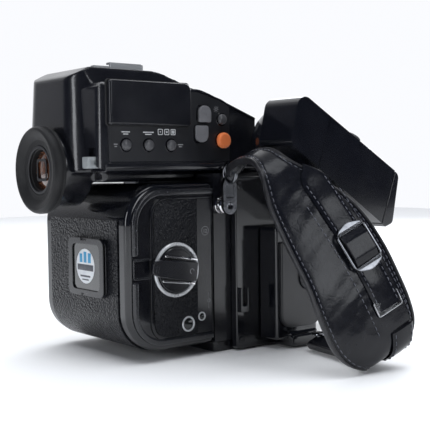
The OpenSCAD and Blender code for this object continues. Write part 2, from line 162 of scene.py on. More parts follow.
@dataclass(frozen=True)
class Finish:
    """A solid material with mottle, specks, relief and gloss variation."""

    name: str
    colour: Triple
    accent: Triple
    rough: float
    spread: float = 0.06
    metal: float = 0.0
    coat: float = 0.0
    coat_rough: float = 0.08
    reliefs: tuple[Relief, ...] = ()
    mottle: float = 90.0
    specks: float = 0.0
    speck_colour: Triple = (0.55, 0.55, 0.54)
    speck_scale: float = 900.0
    sheen: float = 0.0
    shine: float = 0.5

    def material(self) -> bpy.types.Material:
        """Builds the material once and gives it back on every later call."""
        known = bpy.data.materials.get(self.name)
        if known is not None:
            return known
        made = bpy.data.materials.new(self.name)
        made.use_nodes = True
        made.diffuse_color = (*self.colour, 1.0)
        tree = made.node_tree
        shader = tree.nodes["Principled BSDF"]
        shader.inputs["Metallic"].default_value = self.metal
        shader.inputs["Specular IOR Level"].default_value = self.shine
        shader.inputs["Coat Weight"].default_value = self.coat
        shader.inputs["Coat Roughness"].default_value = self.coat_rough
        shader.inputs["Sheen Weight"].default_value = self.sheen
        place = tree.nodes.new("ShaderNodeTexCoord").outputs["Object"]
        self._colours(tree, shader, place)
        self._gloss(tree, shader, place)
        self._reliefs(tree, shader, place)
        return made

    def _noise(self, tree: Tree, place: Socket, scale: float, detail: float = 3.0) -> Socket:
        """Adds a noise texture and gives its value output."""
        noise = tree.nodes.new("ShaderNodeTexNoise")
        noise.inputs["Scale"].default_value = scale
        noise.inputs["Detail"].default_value = detail
        tree.links.new(place, noise.inputs["Vector"])
        return noise.outputs["Fac"]

    def _range(
            self, tree: Tree, value: Socket, low: float, high: float, to_low: float,
            to_high: float) -> Socket:
        """Adds a clamped map from one range to another and gives its output."""
        mapper = tree.nodes.new("ShaderNodeMapRange")
        for name, number in (("From Min", low), ("From Max", high), ("To Min", to_low), ("To Max", to_high)):
            mapper.inputs[name].default_value = number
        tree.links.new(value, mapper.inputs["Value"])
        return mapper.outputs["Result"]

    def _blend(self, tree: Tree, factor: Socket, first: Socket | Triple, second: Triple) -> Socket:
        """Adds a colour mix and gives its output."""
        mix = tree.nodes.new("ShaderNodeMix")
        mix.data_type = "RGBA"
        tree.links.new(factor, mix.inputs["Factor"])
        if isinstance(first, tuple):
            mix.inputs["A"].default_value = (*first, 1.0)
        else:
            tree.links.new(first, mix.inputs["A"])
        mix.inputs["B"].default_value = (*second, 1.0)
        return mix.outputs["Result"]

    def _colours(self, tree: Tree, shader: bpy.types.Node, place: Socket) -> None:
        """Mixes the base colour from mottle and specks."""
        cloud = self._range(tree, self._noise(tree, place, self.mottle, 5.0), 0.32, 0.68, 0.0, 1.0)
        colour = self._blend(tree, cloud, self.colour, self.accent)
        if self.specks > 0:
            dots = self._noise(tree, place, self.speck_scale, 2.0)
            mask = self._range(tree, dots, 0.78 - 0.3 * self.specks, 0.82 - 0.3 * self.specks, 0.0, 1.0)
            colour = self._blend(tree, mask, colour, self.speck_colour)
        tree.links.new(colour, shader.inputs["Base Color"])

    def _gloss(self, tree: Tree, shader: bpy.types.Node, place: Socket) -> None:
        """Varies the roughness in soft patches."""
        patches = self._noise(tree, place, 55.0, 6.0)
        low, high = max(self.rough - self.spread, 0.02), self.rough + self.spread
        tree.links.new(self._range(tree, patches, 0.3, 0.7, low, high), shader.inputs["Roughness"])

    def _height(self, tree: Tree, place: Socket, relief: Relief) -> Socket:
        """Makes the height pattern of one layer of relief."""
        if relief.grain in (Grain.BRUSHED, Grain.FIBRE):
            stretch = tree.nodes.new("ShaderNodeMapping")
            stretch.inputs["Scale"].default_value = (
                1.0, 0.03, 1.0) if relief.grain is Grain.BRUSHED else (0.2, 1.0, 1.0)
            tree.links.new(place, stretch.inputs["Vector"])
            return self._noise(tree, stretch.outputs["Vector"], relief.scale, 4.0)
        if relief.grain is Grain.PEEL:
            return self._noise(tree, place, relief.scale, 2.0)
        warp = tree.nodes.new("ShaderNodeTexNoise")
        warp.inputs["Scale"].default_value = relief.scale * 0.8
        tree.links.new(place, warp.inputs["Vector"])
        lean = tree.nodes.new("ShaderNodeVectorMath")
        lean.operation = "MULTIPLY_ADD"
        lean.inputs[1].default_value = (0.35 / relief.scale,) * 3
        tree.links.new(warp.outputs["Color"], lean.inputs[0])
        tree.links.new(place, lean.inputs[2])
        cells = tree.nodes.new("ShaderNodeTexVoronoi")
        cells.feature = "DISTANCE_TO_EDGE" if relief.grain is Grain.CREASE else "SMOOTH_F1"
        cells.inputs["Scale"].default_value = relief.scale
        tree.links.new(lean.outputs[0], cells.inputs["Vector"])
        if relief.grain is Grain.CREASE:
            return self._range(tree, cells.outputs["Distance"], 0.0, 0.16, 0.0, 1.0)
        return self._range(tree, cells.outputs["Distance"], 0.1, 0.75, 1.0, 0.0)

    def _reliefs(self, tree: Tree, shader: bpy.types.Node, place: Socket) -> None:
        """Chains every layer of relief into the shader's normal."""
        normal: Socket | None = None
        for relief in self.reliefs:
            bump = tree.nodes.new("ShaderNodeBump")
            bump.inputs["Strength"].default_value = relief.strength
            bump.inputs["Distance"].default_value = relief.depth
            tree.links.new(self._height(tree, place, relief), bump.inputs["Height"])
            if normal is not None:
                tree.links.new(normal, bump.inputs["Normal"])
            normal = bump.outputs["Normal"]
        if normal is not None:
            tree.links.new(normal, shader.inputs["Normal"])
            if self.coat > 0:
                tree.links.new(normal, shader.inputs["Coat Normal"])


@dataclass(frozen=True)
class Glass(Finish):
    """Coated lens glass: a clear dark body with a tinted coating."""

    clear: float = 0.6
    ior: float = 1.52

    def material(self) -> bpy.types.Material:
        """Builds the glass on top of the plain finish."""
        known = bpy.data.materials.get(self.name)
        if known is not None:
            return known
        made = super().material()
        shader = made.node_tree.nodes["Principled BSDF"]
        shader.inputs["Transmission Weight"].default_value = self.clear
        shader.inputs["IOR"].default_value = self.ior
        shader.inputs["Specular IOR Level"].default_value = 0.8
        return made


SATIN_BLACK = Finish(
    "satin_black", (0.0055, 0.006, 0.0085), (0.008, 0.0085, 0.0115), 0.23, 0.04, coat=0.2, coat_rough=0.1,
    reliefs=(Relief(Grain.PEEL, 900, 0.00002, 0.3),))
PANEL_BLACK = Finish(
    "panel_black", (0.0075, 0.008, 0.0105), (0.010, 0.0105, 0.013), 0.36, 0.05,
    reliefs=(Relief(Grain.PEEL, 2600, 0.00002, 0.4),))
GLOSS_BLACK = Finish(
    "gloss_black", (0.0035, 0.004, 0.006), (0.0055, 0.006, 0.0085), 0.13, 0.035, coat=0.4, coat_rough=0.05,
    reliefs=(Relief(Grain.PEEL, 500, 0.00001, 0.3),))
WORN_BLACK = Finish(
    "worn_black", (0.008, 0.0085, 0.011), (0.016, 0.017, 0.02), 0.22, 0.07, coat=0.3,
    reliefs=(Relief(Grain.PEEL, 1400, 0.00005, 0.5),), specks=0.3, speck_scale=1300.0,
    speck_colour=(0.16, 0.165, 0.18))
HOUSING_GREY = Finish(
    "housing_grey", (0.008, 0.008, 0.010), (0.011, 0.011, 0.013), 0.33, 0.05, coat=0.15, coat_rough=0.2,
    reliefs=(Relief(Grain.PEEL, 900, 0.00002, 0.4),))
MATT_BLACK = Finish(
    "matt_black", (0.006, 0.006, 0.007), (0.01, 0.01, 0.011), 0.75, 0.1,
    reliefs=(Relief(Grain.PEEL, 1800, 0.00005),))
LEATHERETTE = Finish(
    "leatherette", (0.0055, 0.006, 0.008), (0.009, 0.0095, 0.012), 0.27, 0.05, coat=0.08, coat_rough=0.2,
    reliefs=(Relief(Grain.PEBBLE, 950, 0.0004, 0.9), Relief(Grain.PEEL, 3800, 0.00006, 0.4)), mottle=400,
    shine=0.17)
STRAP_LEATHER = Finish(
    "strap_leather", (0.0045, 0.005, 0.0075), (0.008, 0.0085, 0.0115), 0.24, 0.06, coat=0.16, coat_rough=0.14,
    reliefs=(Relief(Grain.PEEL, 95, 0.0003, 0.35), Relief(Grain.CREASE, 260, 0.00005, 0.25),
    Relief(Grain.PEBBLE, 2100, 0.00004, 0.3)), mottle=300, shine=0.2)
STRAP_EDGE = Finish(
    "strap_edge", (0.010, 0.010, 0.012), (0.022, 0.022, 0.025), 0.36, 0.1,
    reliefs=(Relief(Grain.FIBRE, 1500, 0.0003, 0.8),), mottle=300, specks=0.12)
THREAD = Finish(
    "thread", (0.055, 0.06, 0.08), (0.10, 0.105, 0.13), 0.6, 0.1,
    reliefs=(Relief(Grain.FIBRE, 5000, 0.0001),), mottle=600, sheen=0.3)
CHROME = Finish(
    "chrome", (0.42, 0.43, 0.45), (0.55, 0.56, 0.58), 0.14, 0.05, metal=1.0,
    reliefs=(Relief(Grain.PEEL, 500, 0.00003, 0.4),), mottle=200)
DARK_CHROME = Finish(
    "dark_chrome", (0.12, 0.125, 0.135), (0.2, 0.205, 0.22), 0.17, 0.05, metal=1.0,
    reliefs=(Relief(Grain.PEEL, 700, 0.00004, 0.5),), mottle=250)
SATIN_CHROME = Finish(
    "satin_chrome", (0.55, 0.56, 0.58), (0.7, 0.71, 0.72), 0.28, 0.06, metal=1.0,
    reliefs=(Relief(Grain.BRUSHED, 3000, 0.00003, 0.6),), mottle=200)
STEEL = Finish(
    "steel", (0.42, 0.43, 0.45), (0.55, 0.56, 0.57), 0.32, 0.07, metal=1.0,
    reliefs=(Relief(Grain.BRUSHED, 2500, 0.00005, 0.7),), mottle=150)
SHOE_METAL = Finish(
    "shoe_metal", (0.035, 0.04, 0.05), (0.06, 0.065, 0.08), 0.34, 0.06, metal=0.35,
    reliefs=(Relief(Grain.PEEL, 1600, 0.00003, 0.5),), specks=0.2, speck_colour=(0.45, 0.46, 0.48))
RING_SILVER = Finish(
    "ring_silver", (0.62, 0.63, 0.65), (0.74, 0.75, 0.77), 0.3, 0.06, metal=0.55, coat=0.2,
    reliefs=(Relief(Grain.PEEL, 1500, 0.00002, 0.5),), mottle=400)
BRASS = Finish(
    "brass", (0.62, 0.45, 0.2), (0.75, 0.56, 0.28), 0.28, 0.06, metal=1.0, mottle=150,
    reliefs=(Relief(Grain.BRUSHED, 2500, 0.00004, 0.6),))
RUBBER = Finish(
    "rubber", (0.011, 0.011, 0.012), (0.018, 0.018, 0.019), 0.5, 0.08,
    reliefs=(Relief(Grain.PEEL, 2200, 0.00007, 0.8),), mottle=120, shine=0.25)
ORANGE = Finish(
    "orange", (0.78, 0.13, 0.04), (0.86, 0.19, 0.07), 0.36, 0.06, coat=0.2,
    reliefs=(Relief(Grain.PEEL, 1800, 0.00004, 0.6),))
KEY_GREY = Finish(
    "key_grey", (0.13, 0.13, 0.14), (0.18, 0.18, 0.19), 0.38, 0.05, coat=0.1,
    reliefs=(Relief(Grain.PEEL, 1800, 0.00003, 0.5),))
DARK_KEY = Finish(
    "dark_key", (0.045, 0.045, 0.05), (0.07, 0.07, 0.075), 0.34, 0.05, coat=0.15,
    reliefs=(Relief(Grain.PEEL, 1800, 0.00003, 0.5),))
LATCH_GREY = Finish(
    "latch_grey", (0.27, 0.29, 0.30), (0.36, 0.38, 0.39), 0.4, 0.06, metal=0.2,
    reliefs=(Relief(Grain.PEEL, 1500, 0.00004, 0.6),), mottle=300)
PRINT_WHITE = Finish(
    "print_white", (0.55, 0.56, 0.57), (0.66, 0.67, 0.68), 0.5, 0.05,
    reliefs=(Relief(Grain.PEEL, 4000, 0.00001),), mottle=1500)
PRINT_DIM = Finish(
    "print_dim", (0.20, 0.20, 0.21), (0.28, 0.28, 0.29), 0.5, 0.05,
    reliefs=(Relief(Grain.PEEL, 4000, 0.00001),), mottle=1500)
PRINT_RED = Finish(
    "print_red", (0.5, 0.06, 0.03), (0.65, 0.09, 0.04), 0.45, 0.05,
    reliefs=(Relief(Grain.PEEL, 4000, 0.00001),), mottle=1500)
CELL_JACKET = Finish(
    "cell_jacket", (0.5, 0.42, 0.06), (0.6, 0.5, 0.1), 0.28, 0.05, metal=0.5, coat=0.4,
    reliefs=(Relief(Grain.PEEL, 900, 0.00003),), mottle=200)
DISPLAY = Finish(
    "display", (0.010, 0.012, 0.012), (0.014, 0.016, 0.016), 0.1, 0.03, coat=0.8, coat_rough=0.03,
    reliefs=(Relief(Grain.PEEL, 200, 0.00002, 0.3),))
LENS_GLASS = Glass(
    "lens_glass", (0.03, 0.035, 0.06), (0.05, 0.04, 0.08), 0.04, 0.02, coat=1.0, coat_rough=0.02, clear=0.35,
    mottle=20)
AMBER_GLASS = Glass(
    "amber_glass", (0.16, 0.055, 0.02), (0.05, 0.02, 0.012), 0.08, 0.03, coat=1.0, coat_rough=0.02, clear=0.2,
    mottle=160)
MIRROR = Finish(
    "mirror", (0.85, 0.86, 0.88), (0.9, 0.9, 0.92), 0.03, 0.01, metal=1.0, mottle=30,
    reliefs=(Relief(Grain.PEEL, 60, 0.000005, 0.3),))
SCREEN = Finish(
    "screen", (0.55, 0.58, 0.58), (0.6, 0.62, 0.62), 0.5, 0.05, reliefs=(Relief(Grain.PEEL, 6000, 0.00003),))
STICKER_WHITE = Finish(
    "sticker_white", (0.66, 0.69, 0.72), (0.76, 0.78, 0.8), 0.42, 0.05,
    reliefs=(Relief(Grain.PEEL, 3000, 0.00002),), mottle=300)
STICKER_BLUE = Finish(
    "sticker_blue", (0.03, 0.27, 0.5), (0.05, 0.33, 0.58), 0.42, 0.05,
    reliefs=(Relief(Grain.PEEL, 3000, 0.00002),), mottle=300)
STICKER_INK = Finish(
    "sticker_ink", (0.05, 0.055, 0.07), (0.09, 0.095, 0.11), 0.42, 0.05,
    reliefs=(Relief(Grain.PEEL, 3000, 0.00002),), mottle=300)


# ---------------------------------------------------------------- modelling


def local_frame(place: Corner, *turns: tuple[str, float]) -> Matrix:
    """Makes the matrix of a local frame.

    Args:
        place: Its origin in millimetres.
        turns: Axis letters with turns in degrees, applied from the left.

    Returns:
        The matrix that takes local metres to the frame's metres.
    """
    matrix = Matrix.Translation(Vector(place) * MM)
    for axis, degrees in turns:
        matrix = matrix @ Matrix.Rotation(math.radians(degrees), 4, axis)
    return matrix


class Shaper:
    """Models pieces with Blender's own tools; every size it takes is in millimetres."""

    def alone(self, *objs: Piece) -> None:
        """Selects only these objects and makes the first one active."""
        bpy.ops.object.select_all(action="DESELECT")
        for obj in objs:
            obj.select_set(True)
        if objs:
            bpy.context.view_layer.objects.active = objs[0]

    @contextmanager
    def editing(self, obj: Piece, kind: str = "VERT") -> Iterator[None]:
        """Opens a piece in edit mode with nothing selected."""
        self.alone(obj)
        bpy.ops.object.mode_set(mode="EDIT")
        bpy.ops.mesh.select_mode(type=kind)
        try:
            yield
        finally:
            bpy.ops.object.mode_set(mode="OBJECT")

    def trace(self, name: str, spots: Sequence[Vector], closed: bool, filled: bool) -> Piece:
        """Draws an outline by extruding one vertex from corner to corner.

        Args:
            name: Name of the new piece.
            spots: Places of the corners in metres.
            closed: Joins the last corner to the first.
            filled: Fills the closed outline with a face.

        Returns:
            The new piece.
        """
        self.alone()
        bpy.ops.mesh.primitive_plane_add(size=MM, location=(0, 0, 0))
        obj = bpy.context.object
        obj.name = name
        with self.editing(obj):
            bpy.ops.mesh.select_all(action="SELECT")
            bpy.ops.mesh.merge(type="CENTER")
            bpy.ops.transform.translate(value=spots[0])
            for before, after in zip(spots, spots[1:]):
                bpy.ops.mesh.extrude_vertices_move(TRANSFORM_OT_translate={"value": after - before})
        if closed:
            mesh = obj.data
            for vertex in mesh.vertices:
                vertex.select = vertex.index in (0, len(spots) - 1)
            self.alone(obj)
            bpy.ops.object.mode_set(mode="EDIT")
            bpy.ops.mesh.edge_face_add()
            if filled:
                bpy.ops.mesh.select_all(action="SELECT")
                bpy.ops.mesh.edge_face_add()
            bpy.ops.object.mode_set(mode="OBJECT")
        return obj

    def plate(
            self, name: str, plane: Plane, corners: Sequence[Corner], low: float, high: float,
            edge: float = 0.0, steps: int = 6) -> Piece:
        """Extrudes a rounded outline into a plate.

        Args:
            name: Name of the new piece.
            plane: Plane the outline is drawn in.
            corners: Corner places with their radii.
            low: Where the plate starts on the third axis.
            high: Where it ends.
            edge: Width of the bevel round its rims.
            steps: Straight pieces in each rounded corner.

        Returns:
            The new piece.
        """
        spots = [plane.point(x, y, low) for x, y in rounded(corners, steps)]
        obj = self.trace(name, spots, True, True)
        with self.editing(obj, "FACE"):
            bpy.ops.mesh.select_all(action="SELECT")
            run = plane.point(0, 0, high - low)
            bpy.ops.mesh.extrude_region_move(TRANSFORM_OT_translate={"value": run})
            bpy.ops.mesh.select_all(action="SELECT")
            bpy.ops.mesh.normals_make_consistent(inside=False)
        if edge > 0:
            self.soften(obj, edge)
        return obj

    def block(self, name: str, low: Corner, high: Corner, edge: float = 0.3) -> Piece:
        """Makes a box with bevelled edges from its two far corners."""
        self.alone()
        middle = [(a + b) / 2 * MM for a, b in zip(low, high)]
        size = [(b - a) * MM for a, b in zip(low, high)]
        bpy.ops.mesh.primitive_cube_add(size=1, location=middle, scale=size)
        obj = bpy.context.object
        obj.name = name
        bpy.ops.object.transform_apply(location=True, rotation=True, scale=True)
        if edge > 0:
            self.soften(obj, edge)
        return obj

    def turned(
            self, name: str, axis: Axis, centre: Point, profile: Sequence[Point], steps: int = 64) -> Piece:
        """Spins a profile into a turned piece.

        Args:
            name: Name of the new piece.
            axis: Axis it is turned about.
            centre: The axis's two other coordinates.
            profile: Radius and place along the axis of each profile point.
            steps: Number of steps round the turn.

        Returns:
            The new piece.
        """
        spots = [axis.point(radius, along, centre) for radius, along in profile]
        hollow = min(radius for radius, _ in profile) > 0
        obj = self.trace(name, spots, hollow, False)
        line = [0.0, 0.0, 0.0]
        line[axis.value[0]] = 1.0
        with self.editing(obj):
            bpy.ops.mesh.select_all(action="SELECT")
            bpy.ops.mesh.spin(steps=steps, angle=math.tau, center=axis.point(0, 0, centre), axis=line)
            bpy.ops.mesh.select_all(action="SELECT")
            bpy.ops.mesh.remove_doubles(threshold=MERGE_REACH)
            bpy.ops.mesh.normals_make_consistent(inside=False)
        return obj

    def rod(
            self, name: str, axis: Axis, centre: Point, low: float, high: float, radius: float,
            edge: float = 0.25, steps: int = 40) -> Piece:
        """Turns a solid rod with rounded rims."""
        profile = [
            (0, low), (radius - edge, low), (radius - edge * 0.3, low + edge * 0.3), (radius, low + edge),
            (radius, high - edge), (radius - edge * 0.3, high - edge * 0.3), (radius - edge, high), (0, high)]
        return self.turned(name, axis, centre, profile, steps)

    def ring(
            self, name: str, axis: Axis, centre: Point, low: float, high: float, outer: float, inner: float,
            edge: float = 0.2, steps: int = 64) -> Piece:
        """Turns a ring with bevelled rims."""
        profile = [
            (inner, low + edge), (inner + edge, low), (outer - edge, low), (outer, low + edge),
            (outer, high - edge), (outer - edge, high), (inner + edge, high), (inner, high - edge)]
        return self.turned(name, axis, centre, profile, steps)

    def apply(self, obj: Piece, kind: str, **settings: object) -> None:
        """Adds a modifier with its settings and applies it."""
        self.alone(obj)
        modifier = obj.modifiers.new(kind.lower(), kind)
        for key, value in settings.items():
            setattr(modifier, key, value)
        bpy.ops.object.modifier_apply(modifier=modifier.name)

    def soften(self, obj: Piece, width: float, segments: int = 3, angle: float = 36.0) -> None:
        """Bevels every edge sharper than an angle."""
        self.apply(
            obj, "BEVEL", width=width * MM, segments=segments, limit_method="ANGLE",
            angle_limit=math.radians(angle), use_clamp_overlap=True)

    def combine(self, obj: Piece, tool: Piece, how: str = "DIFFERENCE") -> None:
        """Cuts, joins or keeps the overlap of a piece with a tool shape, and removes the tool."""
        self.apply(obj, "BOOLEAN", operation=how, object=tool, solver="EXACT")
        bpy.data.objects.remove(tool, do_unlink=True)

    def cut(self, obj: Piece, low: Corner, high: Corner) -> None:
        """Cuts a square-edged box out of a piece."""
        self.combine(obj, self.block("tool", low, high, 0))

    def bore(
            self, obj: Piece, axis: Axis, centre: Point, low: float, high: float, radius: float,
            edge: float = 0.25, steps: int = 40) -> None:
        """Cuts a round hole through a piece."""
        self.combine(obj, self.rod("tool", axis, centre, low, high, radius, edge, steps))

    def punch(
            self, obj: Piece, plane: Plane, corners: Sequence[Corner], low: float, high: float,
            steps: int = 6) -> None:
        """Cuts an opening with a rounded outline through a piece."""
        self.combine(obj, self.plate("tool", plane, corners, low, high, steps=steps))

    def moulded(self, obj: Piece, voxel: float, rounds: int) -> None:
        """Rounds a joined shape the way a moulding is, by remeshing and smoothing it."""
        self.apply(obj, "REMESH", mode="VOXEL", voxel_size=voxel * MM)
        self.apply(obj, "SMOOTH", factor=0.5, iterations=rounds)

    def settle(self, obj: Piece, matrix: Matrix) -> None:
        """Moves a piece by a matrix and applies the move to its mesh."""
        self.alone(obj)
        obj.matrix_world = matrix @ obj.matrix_world
        bpy.ops.object.transform_apply(location=True, rotation=True, scale=True)

    def copied(self, obj: Piece, name: str, matrix: Matrix) -> Piece:
        """Copies a piece with its own mesh and moves the copy."""
        self.alone(obj)
        bpy.ops.object.duplicate(linked=False)
        made = bpy.context.object
        made.name = name
        self.settle(made, matrix)
        return made

    def joined(self, first: Piece, *others: Piece) -> Piece:
        """Joins pieces into the first one."""
        self.alone(first, *others)
        bpy.ops.object.join()
        return first

    def digits(self, name: str, text: str, height: float, matrix: Matrix) -> Piece:
        """Makes raised dial numbers whose baseline middle is at a matrix's origin."""
        self.alone()
        bpy.ops.object.text_add(location=(0, 0, 0))
        obj = bpy.context.object
        obj.name = name
        obj.data.body = text
        obj.data.size = height * DIGIT_SCALE * MM
        obj.data.extrude = DIGIT_DEPTH * MM
        obj.data.align_x = "CENTER"
        obj.data.resolution_u = 3
        bpy.ops.object.convert(target="MESH")
        self.settle(obj, matrix)
        return obj

    def mesh(self, name: str, spots: Sequence[Vector], faces: Sequence[Sequence[int]]) -> Piece:
        """Makes a piece of soft goods from its points in metres and its faces."""
        data = bpy.data.meshes.new(name)
        data.from_pydata([tuple(spot) for spot in spots], [], [tuple(face) for face in faces])
        data.update()
        obj = bpy.data.objects.new(name, data)
        bpy.context.scene.collection.objects.link(obj)
        with self.editing(obj):
            bpy.ops.mesh.select_all(action="SELECT")
            bpy.ops.mesh.normals_make_consistent(inside=False)
        return obj

    def dress(
            self, obj: Piece, finish: Finish, body: str = CAMERA, stands_for: Sequence[str] = (),
            angle: float = 34.0, weighted: bool = True) -> Piece:
        """Finishes a piece and says where it belongs.

        Args:
            obj: The piece.
            finish: Its finish.
            body: Body it moves with.
            stands_for: CAD nodes that it stands for.
            angle: Edges sharper than this stay crisp.
            weighted: Keeps big faces flat next to their bevels.

        Returns:
            The piece.
        """
        self.alone(obj)
        bpy.ops.object.shade_smooth_by_angle(angle=math.radians(angle))
        if weighted:
            self.apply(obj, "WEIGHTED_NORMAL", keep_sharp=True, weight=60)
        obj.data.materials.clear()
        obj.data.materials.append(finish.material())
        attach(obj, body)
        if stands_for:
            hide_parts(*stands_for)
        LOG.info("%s: %s on %s, %d faces", obj.name, finish.name, body, len(obj.data.polygons))
        return obj


def paint_node(name: str, finish: Finish) -> None:
    """Gives a kept CAD node a finish."""
    obj = bpy.data.objects[name] if name in bpy.data.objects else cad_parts[name]
    for index in range(max(1, len(obj.material_slots))):
        if not obj.material_slots:
            obj.data.materials.append(finish.material())
        else:
            obj.material_slots[index].material = finish.material()
    LOG.info("%s: %s on the CAD part", name, finish.name)


SHAPER = Shaper()


# ---------------------------------------------------------------- magazine


@dataclass
class Magazine:
    """The roll-film magazine behind the body, with its crank, windows and memo holder."""

    half: float = 44.0
    rear: float = -93.0
    seam: float = -35.0
    foot: float = 6.0
    top: float = 96.0
    round_rear: float = 22.0
    crank: Point = (-61.7, 49.2)
    crank_turn: float = -8.0
    sticker: Point = (6.4, 50.8)
    large_window: Point = (-53.9, 18.7)
    small_window: Point = (-44.5, 21.9)
    key: Point = (-62, 51)
    count: Point = (-41.5, 69.3)

    def build(self) -> None:
        """Builds every piece of the magazine."""
        self._shell()
        self._skins()
        self._ridge()
        self._rings()
        self._crank()
        self._marks()
        self._memo()
        self._top_latch()
        self._slide()
        self._insert()

    def _profile(self, inset: float, front: float) -> list[Corner]:
        """Gives the side outline at an inset from the shell."""
        turn = self.round_rear - inset
        low, high = self.foot + inset, self.top - inset
        return [
            (self.rear + inset, low, turn), (front, low, 0), (front, high, 0),
            (self.rear + inset, high, turn)]

    def _shell(self) -> None:
        """Builds the shell with its rolled rims and the chamber for the film insert."""
        shell = SHAPER.plate(
            "magazine_case", Plane.YZ, self._profile(0, self.seam), -self.half, self.half, steps=14)
        SHAPER.soften(shell, 3.0, 6, 60)
        box = SHAPER.plate(
            "tool", Plane.YZ, [(-90, 9, 19), (-41, 9, 3), (-41, 93, 3), (-90, 93, 19)], -self.half - 1, 36,
            steps=10)
        SHAPER.combine(shell, box)
        for low, high in (
                ((-28, -42, 23), (28, -34, 79)), ((-7, -62, 94.6), (7, -48.7, 98)),
                ((-45, -38.3, 20.8), (32.5, -36.9, 81.2))):
            SHAPER.cut(shell, low, high)
        SHAPER.bore(shell, Axis.X, self.crank, 35, 45, 3.05, 0.1)
        SHAPER.dress(shell, GLOSS_BLACK, stands_for=("magazine_shell",))

    def _skins(self) -> None:
        """Builds the leather on the back and on the crank side."""
        back = SHAPER.plate(
            "back_leather", Plane.YZ, [(self.rear - 0.8, 5.3, 22.6), (-64, 5.3, 0), (-64, 77, 0),
            (self.rear - 0.8, 77, 0)], -36, 36, steps=14)
        SHAPER.punch(
            back, Plane.YZ, [(self.rear, self.foot, 22), (-60, self.foot, 0), (-60, 80, 0),
            (self.rear, 80, 0)], -40, 40, steps=14)
        SHAPER.soften(back, 0.35, 2, 50)
        SHAPER.dress(back, LEATHERETTE, stands_for=("magazine_leather",))
        side = SHAPER.plate(
            "side_leather", Plane.YZ, [(-76, 13, 8), (-47.3, 13, 1), (-47.3, 87, 1), (-76, 87, 8)], 43.8,
            44.6, steps=8)
        strip = SHAPER.plate("front_strip", Plane.YZ, frame_corners(-47.1, 13, -37.4, 87, 0.8), 43.8, 44.45)
        for piece in (side, strip):
            for y, z, radius in (
                    (*self.crank, 14.95), (*self.large_window, 4.35), (*self.small_window, 2.55)):
                SHAPER.bore(piece, Axis.X, (y, z), 42, 47, radius, 0.1)
            SHAPER.soften(piece, 0.2, 2, 50)
        SHAPER.dress(side, LEATHERETTE)
        SHAPER.dress(strip, SATIN_BLACK)

    def _ridge(self) -> None:
        """Builds the worn raised ridge round the crank side and the bead inside it."""
        ridge = SHAPER.plate("side_ridge", Plane.YZ, self._profile(3.0, -36.2), 39.5, 45.7, steps=12)
        SHAPER.punch(
            ridge, Plane.YZ, [(-86.4, 12.6, 15.4), (-20, 12.6, 0), (-20, 89.4, 0), (-86.4, 89.4, 15.4)], 38,
            48, steps=12)
        SHAPER.cut(ridge, (38, -95, 44.5), (47, -81, 58))
        SHAPER.soften(ridge, 1.1, 3, 50)
        SHAPER.dress(ridge, WORN_BLACK, stands_for=("side_trim",))
        bead = SHAPER.plate(
            "panel_bead", Plane.YZ, [(-78.4, 11.2, 10), (-36.6, 11.2, 1), (-36.6, 88.6, 1),
            (-78.4, 88.6, 10)], 43.6, 44.9, steps=10)
        SHAPER.punch(
            bead, Plane.YZ, [(-76.6, 12.5, 8.6), (-37.1, 12.5, 1), (-37.1, 87.5, 1), (-76.6, 87.5, 8.6)], 42,
            48, steps=10)
        SHAPER.soften(bead, 0.4, 2, 50)
        SHAPER.dress(bead, GLOSS_BLACK)
        rest = SHAPER.plate(
            "arm_rest", Plane.YZ, [(-89.4, 45.4, 1.5), (-77.5, 45.4, 1), (-77.5, 57, 1), (-89.4, 57, 1.5)],
            40, 44.7)
        SHAPER.cut(rest, (43.7, -88.4, 47.2), (46, -70, 55.2))
        SHAPER.soften(rest, 0.4, 2, 50)
        SHAPER.dress(rest, WORN_BLACK)

    def _rings(self) -> None:
        """Builds the crank's ring and the two film windows."""
        ring = SHAPER.ring("crank_ring", Axis.X, self.crank, 43.8, 45.8, 14.9, 13.0, 0.45, 72)
        SHAPER.dress(ring, RING_SILVER, stands_for=("magazine_rings",))
        for name, place, outer, inner in (
                ("large_window", self.large_window, 4.3, 3.35), ("small_window", self.small_window, 2.5,
                1.8)):
            SHAPER.dress(
                SHAPER.ring(name + "_ring", Axis.X, place, 43.8, 45.0, outer, inner, 0.2, 40), RING_SILVER)
            pane = SHAPER.turned(
                name + "_pane", Axis.X, place, [(0, 43.9), (inner + 0.1, 43.9), (inner + 0.1, 44.3),
                (inner * 0.6, 44.55), (0, 44.65)], 32)
            SHAPER.dress(pane, DISPLAY)

